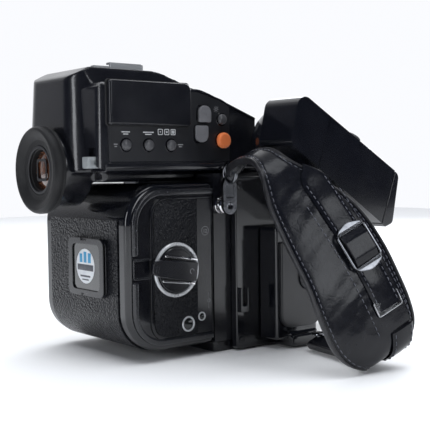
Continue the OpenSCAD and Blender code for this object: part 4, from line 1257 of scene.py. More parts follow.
@dataclass
class Lens:
    """The lens: barrel, three turning rings and its glass."""

    height: float = 51.0
    focus_marks: tuple[str, ...] = ("0.9", "1.2", "1.5", "2", "3", "5", "10")
    stop_marks: tuple[str, ...] = ("2.8", "4", "5.6", "8", "11", "16", "22")
    speed_marks: tuple[str, ...] = ("1", "2", "4", "8", "15", "30", "60", "125", "250", "500")

    @property
    def line(self) -> Point:
        """The lens axis's place across and up."""
        return (0, self.height)

    def build(self) -> None:
        """Builds every piece of the lens."""
        barrel = SHAPER.turned(
            "barrel_body", Axis.Y, self.line, [(24, 27), (27.9, 27), (27.9, 31.2), (33, 31.2), (33.5, 31.7),
            (33.5, 35.6), (33, 36), (33, 43.2), (35.6, 43.2), (36, 43.6), (36, 46.4), (35.6, 46.8),
            (33, 46.8), (33, 54.2), (36, 54.2), (36.4, 54.6), (36.4, 57.4), (36, 57.8), (33, 57.8),
            (33, 73.2), (35.1, 73.2), (35.5, 73.6), (35.5, 79.4), (34.9, 80), (31, 80), (30.3, 79.6),
            (30, 78.6), (29.6, 77.6), (27.5, 77.0), (27.2, 76.2), (25.8, 75.9), (25.5, 75.1), (24, 74.8)],
            128)
        SHAPER.dress(barrel, SATIN_BLACK, stands_for=("lens_barrel",))
        rings = (
            ("shutter_ring", "shutter", 36.4, 42.8, 35.6, self.speed_marks, 60),
            ("aperture_ring", "aperture", 47.2, 53.8, 35.6, self.stop_marks, 56))
        for node, body, low, high, outer, marks, teeth in rings:
            self._ring(node, body, low, high, outer, marks, teeth)
        self._focus()
        self._glass()
        index = SHAPER.block(
            "index_line", (-0.25, 43.6, self.height + 35.9), (0.25, 46.4, self.height + 36.06), 0.02)
        SHAPER.dress(index, PRINT_RED)

    def _ring(
            self, node: str, body: str, low: float, high: float, outer: float, marks: Sequence[str],
            teeth: int) -> None:
        """Builds a setting ring with a knurled rear band and numbers in front.

        Args:
            node: CAD node that it stands for.
            body: Body it turns with.
            low: Rear end along the lens.
            high: Front end.
            outer: Outer radius.
            marks: Numbers, in order round the top.
            teeth: Number of knurls.
        """
        inner = 33.06
        band = SHAPER.turned(
            f"{node}_band", Axis.Y, self.line, [(inner, low), (outer - 0.8, low), (outer - 0.6, low + 0.2),
            (outer - 0.6, low + 2.6), (outer - 0.3, low + 2.9), (outer - 0.3, high - 0.3),
            (outer - 0.6, high), (inner, high)], 120)
        tooth = SHAPER.block("tooth", (-0.7, low + 0.3, outer - 1.2), (0.7, low + 2.5, outer), 0.25)
        teeth_made = [
            SHAPER.copied(tooth, f"tooth_{number}", Matrix.Rotation(math.tau * number / teeth, 4, "Y"))
            for number in range(1, teeth)]
        knurl = SHAPER.joined(tooth, *teeth_made)
        knurl.name = f"{node}_knurl"
        SHAPER.settle(knurl, local_frame((0, 0, self.height)))
        SHAPER.dress(band, SATIN_BLACK, body, (node,))
        SHAPER.dress(knurl, SATIN_BLACK, body)
        self._numbers(node, body, marks, low + 3.3, outer - 0.3, 1.7)

    def _numbers(
            self, name: str, body: str, marks: Sequence[str], along: float, radius: float,
            height: float) -> None:
        """Lays numbers round the top of a ring, each one flat on its own spot."""
        for number, mark in enumerate(marks):
            turn = math.radians((number - (len(marks) - 1) / 2) * 11)
            place = (
                local_frame((0, 0, self.height)) @ Matrix.Rotation(turn, 4, "Y")
                @ Matrix.Translation((0, along * MM, (radius + 0.02) * MM)))
            SHAPER.dress(
                SHAPER.digits(f"{name}_number_{number}", mark, height, place), PRINT_WHITE, body,
                weighted=False)

    def _focus(self) -> None:
        """Builds the focus ring with its ribbed rubber grip."""
        sleeve = SHAPER.turned(
            "focus_sleeve", Axis.Y, self.line, [(33.06, 58.2), (35.2, 58.2), (35.5, 58.5), (35.5, 61.4),
            (35.9, 61.7), (35.9, 71.6), (35.5, 72.4), (35.1, 72.8), (33.06, 72.8)], 128)
        SHAPER.dress(sleeve, SATIN_BLACK, "focus", ("focus_ring",))
        rib = SHAPER.block("rib", (-0.95, 62.1, 35.2), (0.95, 71.3, 37), 0.4)
        ribs = [
            SHAPER.copied(rib, f"rib_{number}", Matrix.Rotation(math.tau * number / 72, 4, "Y"))
            for number in range(1, 72)]
        grip = SHAPER.joined(rib, *ribs)
        grip.name = "focus_grip"
        SHAPER.settle(grip, local_frame((0, 0, self.height)))
        SHAPER.dress(grip, RUBBER, "focus")
        self._numbers("focus", "focus", self.focus_marks, 59.0, 35.5, 1.7)

    def _glass(self) -> None:
        """Builds the glass groups, each with a domed front."""
        first = True
        for name, low, high, crown in (
                ("rear_group", 28, 33, -1.2), ("middle_group", 50, 54, 0.8), ("front_group", 68, 73.2, 2.6)):
            back, front = (min(crown, 0.0), max(crown, 0.0))
            dome = [
                (23.9 * math.sin(math.radians(step * 15)), high + front * math.cos(math.radians(step * 15)))
                for step in range(6, -1, -1)]
            dish = [
                (23.9 * math.sin(math.radians(step * 15)), low + back * math.cos(math.radians(step * 15)))
                for step in range(0, 7)]
            dish[0] = (0, dish[0][1])
            dome[-1] = (0, dome[-1][1])
            group = SHAPER.turned(name, Axis.Y, self.line, dish + dome, 72)
            SHAPER.dress(
                group, LENS_GLASS, stands_for=("lens_elements",) if first else (), angle=60)
            first = False


# ---------------------------------------------------------------- winder


@dataclass
class Winder:
    """The side motor winder with its sloping grip beam."""

    inner: float = 79.0
    outer: float = 104.0
    slope: float = 31.0
    beam_place: Corner = (0, -25.9, 127.9)
    dome: Corner = (68.0, 1.0, 117.5)
    dome_radius: float = 21.5
    control_x: float = 89
    release_y: float = 64
    dial_y: float = 50

    def build(self) -> None:
        """Builds every piece of the winder."""
        self._plate()
        self._housing()
        self._cover()
        self._beam()
        self._controls()

    @property
    def grip(self) -> Matrix:
        """The grip beam's own frame."""
        return local_frame(self.beam_place, ("X", -self.slope))

    def _plate(self) -> None:
        """Builds the plate that carries the winder, with its screws and tab."""
        plate = SHAPER.plate(
            "winder_carrier", Plane.YZ, [(-23, 1, 2), (27, 1, 2), (27, 99, 3), (-23, 99, 3)], 44.05, 49, 0.8)
        SHAPER.dress(plate, GLOSS_BLACK, stands_for=("winder_plate",))
        tab = SHAPER.plate(
            "side_tab", Plane.YZ, [(-21.6, 22, 0.5), (-15.4, 22, 0.5), (-15.4, 36, 0.5), (-21.6, 36, 0.5)],
            48.6, 51.2)
        SHAPER.punch(tab, Plane.YZ, frame_corners(-20.3, 25.5, -16.7, 40, 1.2), 48, 52)
        SHAPER.soften(tab, 0.3, 2, 50)
        SHAPER.dress(tab, SATIN_BLACK)
        for number, (y, z) in enumerate(((-19.5, 94), (-19.5, 6))):
            head = SHAPER.turned(
                f"carrier_screw_{number}", Axis.X, (y, z), [(0, 48.6), (2.1, 48.6), (2.1, 49.2), (1.8, 49.5),
                (0, 49.5)], 28)
            SHAPER.cut(head, (49.2, y - 1.5, z - 0.22), (50, y + 1.5, z + 0.22))
            SHAPER.dress(head, SATIN_BLACK)

    def _housing(self) -> None:
        """Builds the moulded motor housing under and behind the grip."""
        case = SHAPER.rod("motor_case", Axis.Z, (56, -11), 36, 76, 12, 1.2, 72)
        x, y, z = self.dome
        shoulder = [(49.1, -18, 2), (70, -18, 9), (70, 20, 9), (49.1, 20, 2)]
        lower = [(49.1, -6, 1), (64, -6, 1), (64, 27, 3), (49.1, 27, 1)]
        neck = [(56, -14, 8), (78.8, -14, 4), (78.8, 16, 4), (56, 16, 8)]
        for corners, low, high, edge, steps in (
                (shoulder, 62, 100, 1.0, 8), (lower, 6, 70, 0.5, 6), (neck, 90, 120, 1.0, 8)):
            SHAPER.joined(case, SHAPER.plate("tool", Plane.XY, corners, low, high, edge, steps))
        SHAPER.alone()
        bpy.ops.mesh.primitive_uv_sphere_add(
            segments=72, ring_count=40, radius=self.dome_radius * MM, location=(x * MM, y * MM, z * MM))
        ball = bpy.context.object
        bpy.ops.object.transform_apply(location=True, rotation=True, scale=True)
        SHAPER.joined(case, ball)
        SHAPER.joined(case, SHAPER.block("tool", (49.1, 4, 1), (66, 27, 8), 0.6))
        foot = SHAPER.plate("tool", Plane.XY, [(60, 7, 2), (84, 7, 5), (84, 23, 5), (60, 23, 2)], 1, 3.6, 0.4)
        SHAPER.joined(case, foot)
        for low, high in (
                ((78.8, -40, 60), (110, 40, 160)), ((20, -40, 0), (49.05, 40, 99.3)),
                ((20, -40, 60), (46.1, 40, 160))):
            SHAPER.cut(case, low, high)
        SHAPER.moulded(case, 0.8, 4)
        SHAPER.dress(case, GLOSS_BLACK, stands_for=("winder_housing",), angle=55)

    def _cover(self) -> None:
        """Builds the grey side cover and its round cap."""
        cover = SHAPER.plate(
            "motor_cover", Plane.YZ, [(-4.2, 12.5, 8), (26, 12.5, 6), (26, 61.6, 3), (-4.2, 61.6, 1)], 63.6,
            66.6, 0.9, 8)
        SHAPER.dress(cover, HOUSING_GREY, stands_for=("side_cover",))
        cap = SHAPER.turned(
            "coupling_cap", Axis.X, (17, 41), [(0, 66.2), (8, 66.2), (8, 67.5), (7.6, 67.9), (6.9, 68),
            (6.6, 67.7), (0, 67.7)], 64)
        SHAPER.cut(cap, (67.2, 12.4, 40.3), (69, 21.6, 41.7))
        SHAPER.dress(cap, SATIN_BLACK)

    def _grip_piece(
            self, obj: Piece, finish: Finish, body: str = CAMERA,
            stands_for: Sequence[str] = ()) -> None:
        """Places a piece made in the grip's frame and dresses it."""
        SHAPER.settle(obj, self.grip)
        SHAPER.dress(obj, finish, body, stands_for)

    def _beam(self) -> None:
        """Builds the grip beam, the battery cap and the cells."""
        beam = SHAPER.plate(
            "grip_shell", Plane.YZ, [(1.2, -13.3, 4), (82.5, -15.4, 0), (77.3, 15.3, 0), (-7.4, 13.4, 6)],
            self.inner, self.outer, steps=10)
        plan = SHAPER.plate(
            "tool", Plane.XY, [(self.inner, -9, 2), (self.outer, -9, 4.5), (self.outer, 95, 0),
            (self.inner, 95, 0)], -20, 20, steps=10)
        SHAPER.combine(beam, plan, "INTERSECT")
        SHAPER.soften(beam, 1.1, 4, 44)
        SHAPER.cut(beam, (self.inner + 1.8, 26, -11.2), (self.outer - 1.8, 95, 11.2))
        SHAPER.punch(
            beam, Plane.YZ, [(18, 17, 0), (18.4, 17, 0), (24.9, -17, 0), (24.5, -17, 0)], self.outer - 0.5,
            self.outer + 1)
        self._grip_piece(beam, GLOSS_BLACK, stands_for=("grip_beam",))
        cap = SHAPER.plate(
            "battery_cap", Plane.YZ, [(83, -15.4, 0), (86.9, -15.6, 1.5), (91, -10.9, 3), (81.7, 15.6, 4),
            (77.8, 15.3, 0)], self.inner, self.outer, 0.9, 8)
        for low, high in (
                ((81.2, 28, -10.9), (101.8, 80.5, -10.1)), ((81.2, 27.5, -10.9), (101.8, 28.9, 10.6)),
                ((91, 28, -10.5), (92, 80.5, 8))):
            cap = SHAPER.joined(cap, SHAPER.block("carrier", low, high, 0.15))
        self._grip_piece(cap, GLOSS_BLACK, "cassette", ("battery_cassette",))
        stands: tuple[str, ...] = ("battery_cells",)
        for number, (x, z) in enumerate(((86.1, -4.9), (86.1, 5.4), (96.9, -4.9), (96.9, 5.4))):
            cell = SHAPER.turned(
                f"cell_{number}", Axis.Y, (x, z), [(0, 30), (4.3, 30), (4.85, 30.5), (4.85, 72.4), (4.5, 73),
                (1.9, 73), (1.8, 73.2), (1.8, 74.1), (1.6, 74.2), (0, 74.2)], 32)
            self._grip_piece(cell, CELL_JACKET, "cassette", stands)
            stands = ()

    def _controls(self) -> None:
        """Builds the raised control plate with the release and the mode dial."""
        top = SHAPER.plate(
            "control_plate", Plane.YZ, [(34, 14.2, 0), (74, 14.6, 0), (74, 19.4, 2.2), (40, 18.6, 4)], 81, 97,
            steps=8)
        for y, radius in ((self.release_y, 4.06), (self.dial_y, 1.56)):
            SHAPER.bore(top, Axis.Z, (self.control_x, y), 10, 24, radius, 0.02, 40)
        SHAPER.soften(top, 0.7, 3, 50)
        self._grip_piece(top, SATIN_BLACK, stands_for=("grip_top",))
        release = SHAPER.turned(
            "release_cap", Axis.Z, (self.control_x, self.release_y), [(0, 16.6), (4, 16.6), (4, 20.5),
            (4.6, 20.5), (4.8, 20.7), (4.8, 21.1), (4.5, 21.4), (3.6, 21.3), (2.0, 20.9), (0, 20.8)], 48)
        self._grip_piece(release, SATIN_CHROME, "release_cap", ("winder_release",))
        dial = SHAPER.turned(
            "mode_knob", Axis.Z, (self.control_x, self.dial_y), [(0, 16.4), (1.5, 16.4), (1.5, 19.4),
            (5.3, 19.4), (5.5, 19.6), (5.5, 21.3), (5.2, 21.6), (0, 21.65)], 64)
        self._grip_piece(dial, DARK_KEY, "dial", ("mode_dial",))
        tooth = SHAPER.block("tooth", (5.2, -0.22, 19.6), (6.0, 0.22, 21.3), 0.08)
        teeth = [
            SHAPER.copied(tooth, f"tooth_{number}", Matrix.Rotation(math.tau * number / 36, 4, "Z"))
            for number in range(1, 36)]
        knurl = SHAPER.joined(tooth, *teeth)
        knurl.name = "mode_knurl"
        SHAPER.settle(knurl, local_frame((self.control_x, self.dial_y, 0)))
        self._grip_piece(knurl, DARK_KEY, "dial")
        line = SHAPER.block("mode_line", (88.75, 51.2, 21.6), (89.25, 54.8, 21.7), 0.02)
        self._grip_piece(line, PRINT_WHITE, "dial")
        for number in range(3):
            digit = SHAPER.digits(
                f"mode_number_{number}", str(number), 1.8, local_frame((83.6 + number * 5.4, 56.6
                if number == 1 else 55.2, 19.2 + 0.13)))
            self._grip_piece(digit, PRINT_WHITE)


# ---------------------------------------------------------------- hand strap


@dataclass
class HandStrap:
    """The padded leather hand strap with its narrow strap, buckle and fittings."""

    path: tuple[Point, ...] = (
        (-1, 84), (10, 91), (24, 95.5), (38, 96), (50, 90), (60, 76), (70, 58), (79, 39), (85, 20), (88, 6),
        (89, -4.5), (87, -12.6), (78.5, -16.8), (58, -19), (40, -20.5), (24, -22))
    edges: tuple[Point, ...] = (
        (44.5, 53.5), (41.5, 55), (41.2, 55.6), (41.2, 55.6), (36.8, 56.5), (30.2, 65), (26.6, 72.6),
        (24.4, 74), (21.6, 73.4), (21.4, 72.6), (25.4, 70.4), (33.4, 65.2), (39.2, 60.4), (41.5, 57),
        (41.7, 57), (41.7, 57))
    thickness: float = 3.1
    middle: float = 59.0
    stitch: float = 2.1
    pitch: float = 3.1
    ring_place: Corner = (51, -28.5, 101)
    foot_place: Point = (77, 15)
    rows: int = 150
    across: int = 24
    lengths: list[float] = field(default_factory=list)

    def build(self) -> None:
        """Builds every piece of the strap."""
        self.lengths = [0.0]
        for before, after in zip(self.path, self.path[1:]):
            self.lengths.append(self.lengths[-1] + (Vector(after) - Vector(before)).length)
        self._pad()
        self._welts()
        self._stitches()
        self._narrow_strap()
        self._buckle()
        self._lower_strap()
        self._fittings()

    @property
    def place(self) -> Matrix:
        """The strap's own frame."""
        return local_frame((44, -35, 6), ("X", 25), ("Z", -10))

    def _value(self, points: Sequence[Point], along: float) -> Point:
        """Reads a smooth curve through points at a distance along the path."""
        along = min(max(along, 0.0), self.lengths[-1] - 1e-6)
        index = max(i for i, length in enumerate(self.lengths) if length <= along)
        index = min(index, len(points) - 2)
        share = (along - self.lengths[index]) / (self.lengths[index + 1] - self.lengths[index])
        near = [Vector(points[min(max(i, 0), len(points) - 1)]) for i in range(index - 1, index + 3)]
        spot = 0.5 * (
            2 * near[1] + (near[2] - near[0]) * share + (2 * near[0] - 5 * near[1]
            + 4 * near[2] - near[3]) * share ** 2 + (3 * near[1] - near[0] - 3 * near[2]
            + near[3]) * share ** 3)
        return spot.x, spot.y

    def _wrinkle(self, along: float, across: float) -> float:
        """Height of the soft creases of the leather."""
        wave = math.sin(along * 0.36 + 1.7 * math.sin(across * 0.11)) * math.sin(across * 0.23 + along * 0.05)
        fine = math.sin(along * 0.83 + across * 0.31 + 1.3 * math.sin(along * 0.19))
        return 0.13 * wave + 0.04 * fine

    def spot(self, along: float, across: float, lift: float) -> Vector:
        """Gives a point on the strap in the frame's metres.

        Args:
            along: Distance along the path.
            across: Place across the strap.
            lift: Height over the path, outwards.

        Returns:
            The point.
        """
        u, n = self._value(self.path, along)
        before, after = self._value(self.path, along - 0.8), self._value(self.path, along + 0.8)
        run = (Vector(after) - Vector(before)).normalized()
        return self.place @ (Vector((u - run.y * lift, across, n + run.x * lift)) * MM)

    def _crown(self, share: float) -> float:
        """Height of the padded outer side at a share of the width."""
        edge = min(share, 1 - share) * 2
        return 0.25 + 0.5 * math.sin(min(edge * 1.6, 1.0) * math.pi / 2)

    def _grid(
            self, name: str, low: float, high: float, sides: Callable[[float], Point],
            top: Callable[[float, float], float], bottom: Callable[[float, float], float], rows: int,
            across: int) -> Piece:
        """Lofts a closed strap between an outer and an inner surface.

        Args:
            name: Name of the new piece.
            low: Start along the path.
            high: End along the path.
            sides: Gives the two edges at a place along.
            top: Height of the outer side at a place along and across.
            bottom: Height of the inner side.
            rows: Number of steps along.
            across: Number of steps across.

        Returns:
            The new piece.
        """
        spots: list[Vector] = []
        loop = 2 * across
        for row in range(rows + 1):
            along = low + (high - low) * row / rows
            left, right = sides(along)
            for side in range(2):
                for step in range(across):
                    share = step / across if side == 0 else 1 - step / across
                    place = left + (right - left) * share
                    height = top(along, share) if side == 0 else bottom(along, share)
                    if step == 0:
                        height = (top(along, share) + bottom(along, share)) / 2
                    spots.append(self.spot(along, place, height))
        faces: list[list[int]] = []
        for row in range(rows):
            for step in range(loop):
                a, b = row * loop + step, row * loop + (step + 1) % loop
                faces.append([a, b, b + loop, a + loop])
        for row in (0, rows):
            start = row * loop
            for step in range(across):
                a, b = start + step, start + (step + 1)
                c, d = start + (loop - step - 1) % loop, start + (loop - step) % loop
                face = [a, b, c, d] if step not in (0, across - 1) else (
                    [a, b, c] if step == 0 else [a, b, d])
                faces.append(face if len(set(face)) == len(face) else list(dict.fromkeys(face)))
        return SHAPER.mesh(name, spots, faces)

    def _pad(self) -> None:
        """Builds the padded leather with its crowned, creased outer side."""
        def top(along: float, share: float) -> float:
            """Outer side with its crown, creases and sewn channels."""
            left, right = self._value(self.edges, along)
            gap = min(abs(share * (right - left) - line) for line in (2.7, (right - left) - 2.7))
            channel = 0.35 * math.exp(-(gap / 0.8) ** 2)
            return self._crown(share) + self._wrinkle(
                along, share * (right - left)) * min(share, 1 - share) * 3 - channel

        def bottom(along: float, share: float) -> float:
            """Inner side, slightly pulled in at its edges."""
            edge = min(share, 1 - share) * 2
            return -self.thickness + 0.9 * (1 - min(edge * 2.4, 1.0)) ** 2

        pad = self._grid(
            "strap_pad", 0, self.lengths[-1], lambda along: self._value(self.edges, along), top, bottom,
            self.rows, self.across)
        SHAPER.bore(pad, Axis.Z, self.foot_place, -4, 30, 2.6, 0.1, 28)
        SHAPER.apply(pad, "SUBSURF", levels=1, render_levels=1, subdivision_type="SIMPLE")
        SHAPER.dress(pad, STRAP_LEATHER, stands_for=("hand_strap",), angle=70,
            weighted=False)

    def _welts(self) -> None:
        """Builds the rolled edging along both sides of the pad."""
        for name, side in (("rear_welt", 0), ("front_welt", 1)):
            def sides(along: float, which: int = side) -> Point:
                """The two edges of this welt."""
                edge = self._value(self.edges, along)[which]
                return (edge - 0.25, edge + 1.35) if which == 0 else (edge - 1.35, edge + 0.25)

            welt = self._grid(
                name, 1.0, self.lengths[-1] - 1.0, sides, lambda along, share: 0.25
                + 0.45 * math.sin(share * math.pi), lambda along, share: -self.thickness
                + 0.3 - 0.25 * math.sin(share * math.pi), 110, 6)
            SHAPER.dress(welt, STRAP_EDGE, angle=60, weighted=False)

    def _stitch_row(
            self, name: str, low: float, high: float, line: Callable[[float], float],
            lift: Callable[[float], float], finish: Finish) -> None:
        """Sews one row of stitches along the strap.

        Args:
            name: Name of the row.
            low: Start along the path.
            high: End along the path.
            line: Place across at a distance along.
            lift: Height of the leather there.
            finish: Finish of the thread.
        """
        spots: list[Vector] = []
        faces: list[list[int]] = []
        along = low
        while along < high:
            base = len(spots)
            for share, width, rise in (
                    (0.0, 0.10, -0.12), (0.2, 0.22, 0.1), (0.5, 0.24, 0.2), (0.8, 0.22, 0.1),
                    (1.0, 0.10, -0.12)):
                here = along + share * self.stitch
                for step in range(4):
                    turn = math.tau * step / 4
                    spots.append(
                        self.spot(here, line(here) + width * math.cos(turn), lift(here) + rise
                        + width * math.sin(turn)))
            for ring in range(4):
                for step in range(4):
                    a, b = base + ring * 4 + step, base + ring * 4 + (step + 1) % 4
                    faces.append([a, b, b + 4, a + 4])
            faces.append([base + step for step in range(4)])
            faces.append([base + 16 + step for step in range(4)])
            along += self.pitch
        SHAPER.dress(SHAPER.mesh(name, spots, faces), finish, angle=60, weighted=False)

    def _stitches(self) -> None:
        """Sews the rows along both edges of the pad and beside the narrow strap."""
        for name, place in (("middle_stitches_rear", 47.2), ("middle_stitches_front", 69.0)):
            self._stitch_row(
                name, self.lengths[5] + 8, self.lengths[9] + 4, lambda along, p=place: p, lambda along: 0.85,
                THREAD)
        for name, which, inset in (("rear_stitches", 0, 2.7), ("front_stitches", 1, -2.7)):
            self._stitch_row(
                name, 6, self.lengths[-1] - 4, lambda along, w=which,
                i=inset: self._value(self.edges, along)[w] + i, lambda along: 0.38, THREAD)

    def _narrow_sides(self, along: float) -> Point:
        """Edges of the narrow strap, drawn in to a point at its upper end."""
        start = self.lengths[4] + 6
        point = min(max((along - start) / 11.0, 0.0), 1.0)
        half = 7.2 * math.sin(point * math.pi / 2) + 0.25
        return self.middle - half, self.middle + half

    def _narrow_strap(self) -> None:
        """Builds the narrow strap that runs over the pad, with its stitches."""
        low, high = self.lengths[4] + 6, self.lengths[9] - 5
        strap = self._grid(
            "narrow_strap", low, high, self._narrow_sides, lambda along, share: 2.1
            + 0.35 * math.sin(min(share, 1 - share) * math.pi) + 0.12 * math.sin(along * 0.4), lambda along,
            share: 0.85, 90, 10)
        SHAPER.dress(
            strap, STRAP_LEATHER, stands_for=("strap_hardware",), angle=60, weighted=False)
        for name, which, inset in (("narrow_stitches_rear", 0, 1.5), ("narrow_stitches_front", 1, -1.5)):
            self._stitch_row(
                name, low + 10, high - 2, lambda along, w=which, i=inset: self._narrow_sides(along)[w] + i,
                lambda along: 2.25 + 0.12 * math.sin(along * 0.4), THREAD)

    def _strap_frame(self, along: float, across: float, lift: float) -> Matrix:
        """Gives the frame that stands on the strap: X across, Y along, Z outwards."""
        here = self.spot(along, across, lift)
        side = (self.spot(along, across + 1, lift) - here).normalized()
        out = (self.spot(along, across, lift + 1) - here).normalized()
        run = out.cross(side).normalized()
        matrix = Matrix.Identity(4)
        for column, axis in enumerate((side, run, out)):
            for row in range(3):
                matrix[row][column] = axis[row]
        matrix.translation = here
        return matrix

    def _buckle(self) -> None:
        """Builds the buckle, its sleeve and the lower keeper."""
        here = self._strap_frame(self.lengths[6] + 17, self.middle, 2.3)
        outline = [(-9.4, -8, 2.5), (9.4, -8, 2.5), (7.2, -11.2, 3), (0, -13.6, 9), (-7.2, -11.2, 3)]
        frame_outline = [
            outline[4], outline[3], outline[2], outline[1], (9.4, 8, 2.5), (7.2, 11.2, 3), (0, 13.6, 9),
            (-7.2, 11.2, 3), (-9.4, 8, 2.5), outline[0]]
        buckle = SHAPER.plate("buckle_frame", Plane.XY, frame_outline, 0, 1.6, steps=5)
        SHAPER.punch(buckle, Plane.XY, frame_corners(-8.1, -9.9, 8.1, 9.9, 2.0), -2, 4)
        SHAPER.soften(buckle, 0.55, 3, 40)
        SHAPER.settle(buckle, here)
        SHAPER.dress(buckle, DARK_CHROME)
        sleeve = SHAPER.plate(
            "buckle_sleeve", Plane.YZ, [(-9.6, -0.4, 0.4), (9.6, -0.4, 0.4), (8.6, 1.2, 1.5), (4.5, 2.9, 5),
            (-4.5, 2.9, 5), (-8.6, 1.2, 1.5)], -7.2, 7.2, 0.7, 6)
        SHAPER.settle(sleeve, here)
        SHAPER.dress(sleeve, STRAP_LEATHER)
        wire_here = self._strap_frame(self.lengths[9] - 3.8, self.middle, 1.8)
        wire = SHAPER.plate("strap_end_wire", Plane.XY, frame_corners(-8.2, -1.2, 8.2, 7.5, 1.4), -0.35, 0.35)
        SHAPER.cut(wire, (-7.6, -0.6, -2), (7.6, 12, 2))
        SHAPER.soften(wire, 0.2, 2, 50)
        SHAPER.settle(wire, wire_here)
        SHAPER.dress(wire, SATIN_CHROME)

    def _lower_strap(self) -> None:
        """Builds the strap that wraps the pad's lower end and runs under to the foot."""
        low, high = self.lengths[10] - 2, self.lengths[13] - 3

        def sides(along: float) -> Point:
            """The two edges of the lower strap."""
            middle = 61.5 - 11.5 * min(max((along - low) / (high - low), 0.0), 1.0)
            return middle - 7.0, middle + 7.0

        strap = self._grid(
            "lower_strap", low, high, sides, lambda along, share: 2.3
            + 0.35 * math.sin(min(share, 1 - share) * math.pi), lambda along, share: 0.9, 60, 10)
        SHAPER.dress(strap, STRAP_LEATHER, angle=60, weighted=False)
        for name, which, inset in (("lower_stitches_rear", 0, 1.5), ("lower_stitches_front", 1, -1.5)):
            self._stitch_row(
                name, low + 1, high - 3, lambda along, w=which, i=inset: sides(along)[w] + i,
                lambda along: 2.4, THREAD)

    def _fittings(self) -> None:
        """Builds the wire ring, the clip on the lug and the stud on the foot."""
        place = Vector(self.ring_place) * MM
        SHAPER.alone()
        bpy.ops.mesh.primitive_torus_add(
            major_radius=5.5 * MM, minor_radius=1.0 * MM, major_segments=56, minor_segments=16,
            rotation=(math.radians(90), 0, 0), location=place)
        wire = bpy.context.object
        wire.name = "strap_ring"
        bpy.ops.object.transform_apply(location=True, rotation=True, scale=True)
        with SHAPER.editing(wire):
            bpy.ops.mesh.select_all(action="SELECT")
            bpy.ops.transform.resize(value=(0.94, 1.0, 1.0), center_override=place)
        SHAPER.dress(wire, DARK_CHROME, weighted=False, angle=70)
        clip = SHAPER.plate(
            "lug_clip", Plane.YZ, [(-33.5, 78, 4.7), (-24, 78, 4.7), (-24, 95, 1.5), (-26, 99, 1.5),
            (-31.5, 99, 1.5), (-33.5, 95, 1.5)], 49.3, 51.5)
        SHAPER.bore(clip, Axis.X, (-28.8, 83), 48, 53, 2.1, 0.05, 32)
        SHAPER.cut(clip, (50.9, -31.6, 87.5), (53, -25.9, 95))
        SHAPER.soften(clip, 0.5, 3, 45)
        SHAPER.dress(clip, DARK_CHROME)
        stud = SHAPER.turned(
            "foot_stud", Axis.Z, self.foot_place, [(0, 3.4), (2.4, 3.4), (2.4, 8.6), (4.6, 8.6), (5, 9.0),
            (4.8, 9.6), (4.0, 9.95), (2.2, 10.0), (0, 9.8)], 40)
        SHAPER.dress(stud, DARK_CHROME)


# ---------------------------------------------------------------- studio


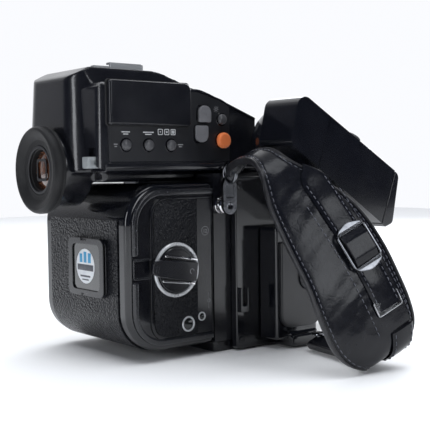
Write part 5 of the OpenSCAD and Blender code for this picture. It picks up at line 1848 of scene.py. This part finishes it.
@dataclass
class Studio:
    """The camera, floor and soft lights."""

    eye: Triple = (0.43972, -0.34905, 0.10428)
    look: Triple = (-0.7811, 0.6221, -0.0525)
    up: Triple = (-0.0334, 0.0425, 0.9985)
    lens: float = 75.76
    floor_size: float = 2.8
    light_tint: Triple = (0.93, 0.96, 1.0)

    def build(self) -> None:
        """Sets up the view, the floor and the lights."""
        self._camera()
        self._floor()
        self._world()
        self._softbox("overhead_light", (0.2, -0.1, 1.1), (0.02, 0, 0.06), (0.7, 0.4), 2.6)
        self._softbox("left_light", (0.12, -1.1, 0.32), (0, -0.05, 0.1), (0.22, 0.6), 2.6)
        self._softbox("right_light", (1.1, 0.15, 0.5), (0.05, 0, 0.08), (0.35, 0.6), 2.5)
        self._softbox("far_light", (-0.5, 0.9, 0.6), (0, 0, 0.1), (0.8, 0.6), 4.5)
        self._softbox("floor_fill", (0, 0, 2.2), (0, 0, 0), (3.2, 3.2), 72.0, glossy=False)

    def _camera(self) -> None:
        """Creates the camera."""
        data = bpy.data.cameras.new("view")
        data.lens = self.lens
        data.sensor_width = 36.0
        data.clip_start = 0.01
        data.dof.use_dof = False
        camera = bpy.data.objects.new("view", data)
        bpy.context.scene.collection.objects.link(camera)
        look, up = Vector(self.look).normalized(), Vector(self.up).normalized()
        right = look.cross(up).normalized()
        up = right.cross(look)
        matrix = Matrix.Identity(4)
        for column, axis in enumerate((right, up, -look)):
            for row in range(3):
                matrix[row][column] = axis[row]
        matrix.translation = Vector(self.eye)
        camera.matrix_world = matrix
        bpy.context.scene.camera = camera

    def _floor(self) -> None:
        """Lays the pale floor."""
        SHAPER.alone()
        bpy.ops.mesh.primitive_plane_add(size=self.floor_size, location=(0, 0, 0))
        floor = bpy.context.object
        floor.name = "floor"
        floor.data.materials.append(
            Finish("floor_paper", (0.9, 0.9, 0.9), (0.92, 0.92, 0.92), 0.8,
            reliefs=(Relief(Grain.PEEL, 400, 0.00002, 0.3),), mottle=3).material())

    def _world(self) -> None:
        """Makes the surround: white behind the camera body, dim in front of it."""
        world = bpy.data.worlds.new("surround")
        world.use_nodes = True
        bpy.context.scene.world = world
        tree = world.node_tree
        back = tree.nodes["Background"]
        back.inputs["Strength"].default_value = 1.0
        lean = tree.nodes.new("ShaderNodeVectorMath")
        lean.operation = "DOT_PRODUCT"
        lean.inputs[1].default_value = (-0.766, 0.61, 0.2)
        tree.links.new(tree.nodes.new("ShaderNodeTexCoord").outputs["Generated"], lean.inputs[0])
        ramp = tree.nodes.new("ShaderNodeValToRGB")
        ramp.color_ramp.elements[0].position = 0.62
        ramp.color_ramp.elements[0].color = (0.03, 0.034, 0.05, 1.0)
        ramp.color_ramp.elements[1].position = 0.9
        ramp.color_ramp.elements[1].color = (0.96, 0.97, 1.0, 1.0)
        scale = tree.nodes.new("ShaderNodeMapRange")
        scale.inputs["From Min"].default_value = -1.0
        tree.links.new(lean.outputs["Value"], scale.inputs["Value"])
        tree.links.new(scale.outputs["Result"], ramp.inputs["Fac"])
        tree.links.new(ramp.outputs["Color"], back.inputs["Color"])
        bpy.context.scene.view_settings.view_transform = "Standard"

    def _softbox(
            self, name: str, place: Triple, aim: Triple, size: Point, power: float,
            glossy: bool = True) -> None:
        """Hangs one soft light.

        Args:
            name: Name of the light.
            place: Where it hangs, in metres.
            aim: What it points at.
            size: Its width and height.
            power: Its power in watts.
            glossy: Whether it shows in reflections.
        """
        data = bpy.data.lights.new(name, "AREA")
        data.shape = "RECTANGLE"
        data.size, data.size_y = size
        data.energy = power
        data.color = self.light_tint
        light = bpy.data.objects.new(name, data)
        bpy.context.scene.collection.objects.link(light)
        light.visible_glossy = glossy
        light.location = place
        light.rotation_euler = (Vector(aim) - Vector(place)).to_track_quat("-Z", "Y").to_euler()


def main() -> None:
    """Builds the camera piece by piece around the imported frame."""
    logging.basicConfig(level=logging.INFO, format="%(name)s %(message)s", stream=sys.stdout)
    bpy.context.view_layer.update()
    Studio().build()
    for part in (Body(), Magazine(), Finder(), Lens(), Winder(), HandStrap()):
        LOG.info("building %s", type(part).__name__)
        part.build()


if __name__ == "__main__":
    main()
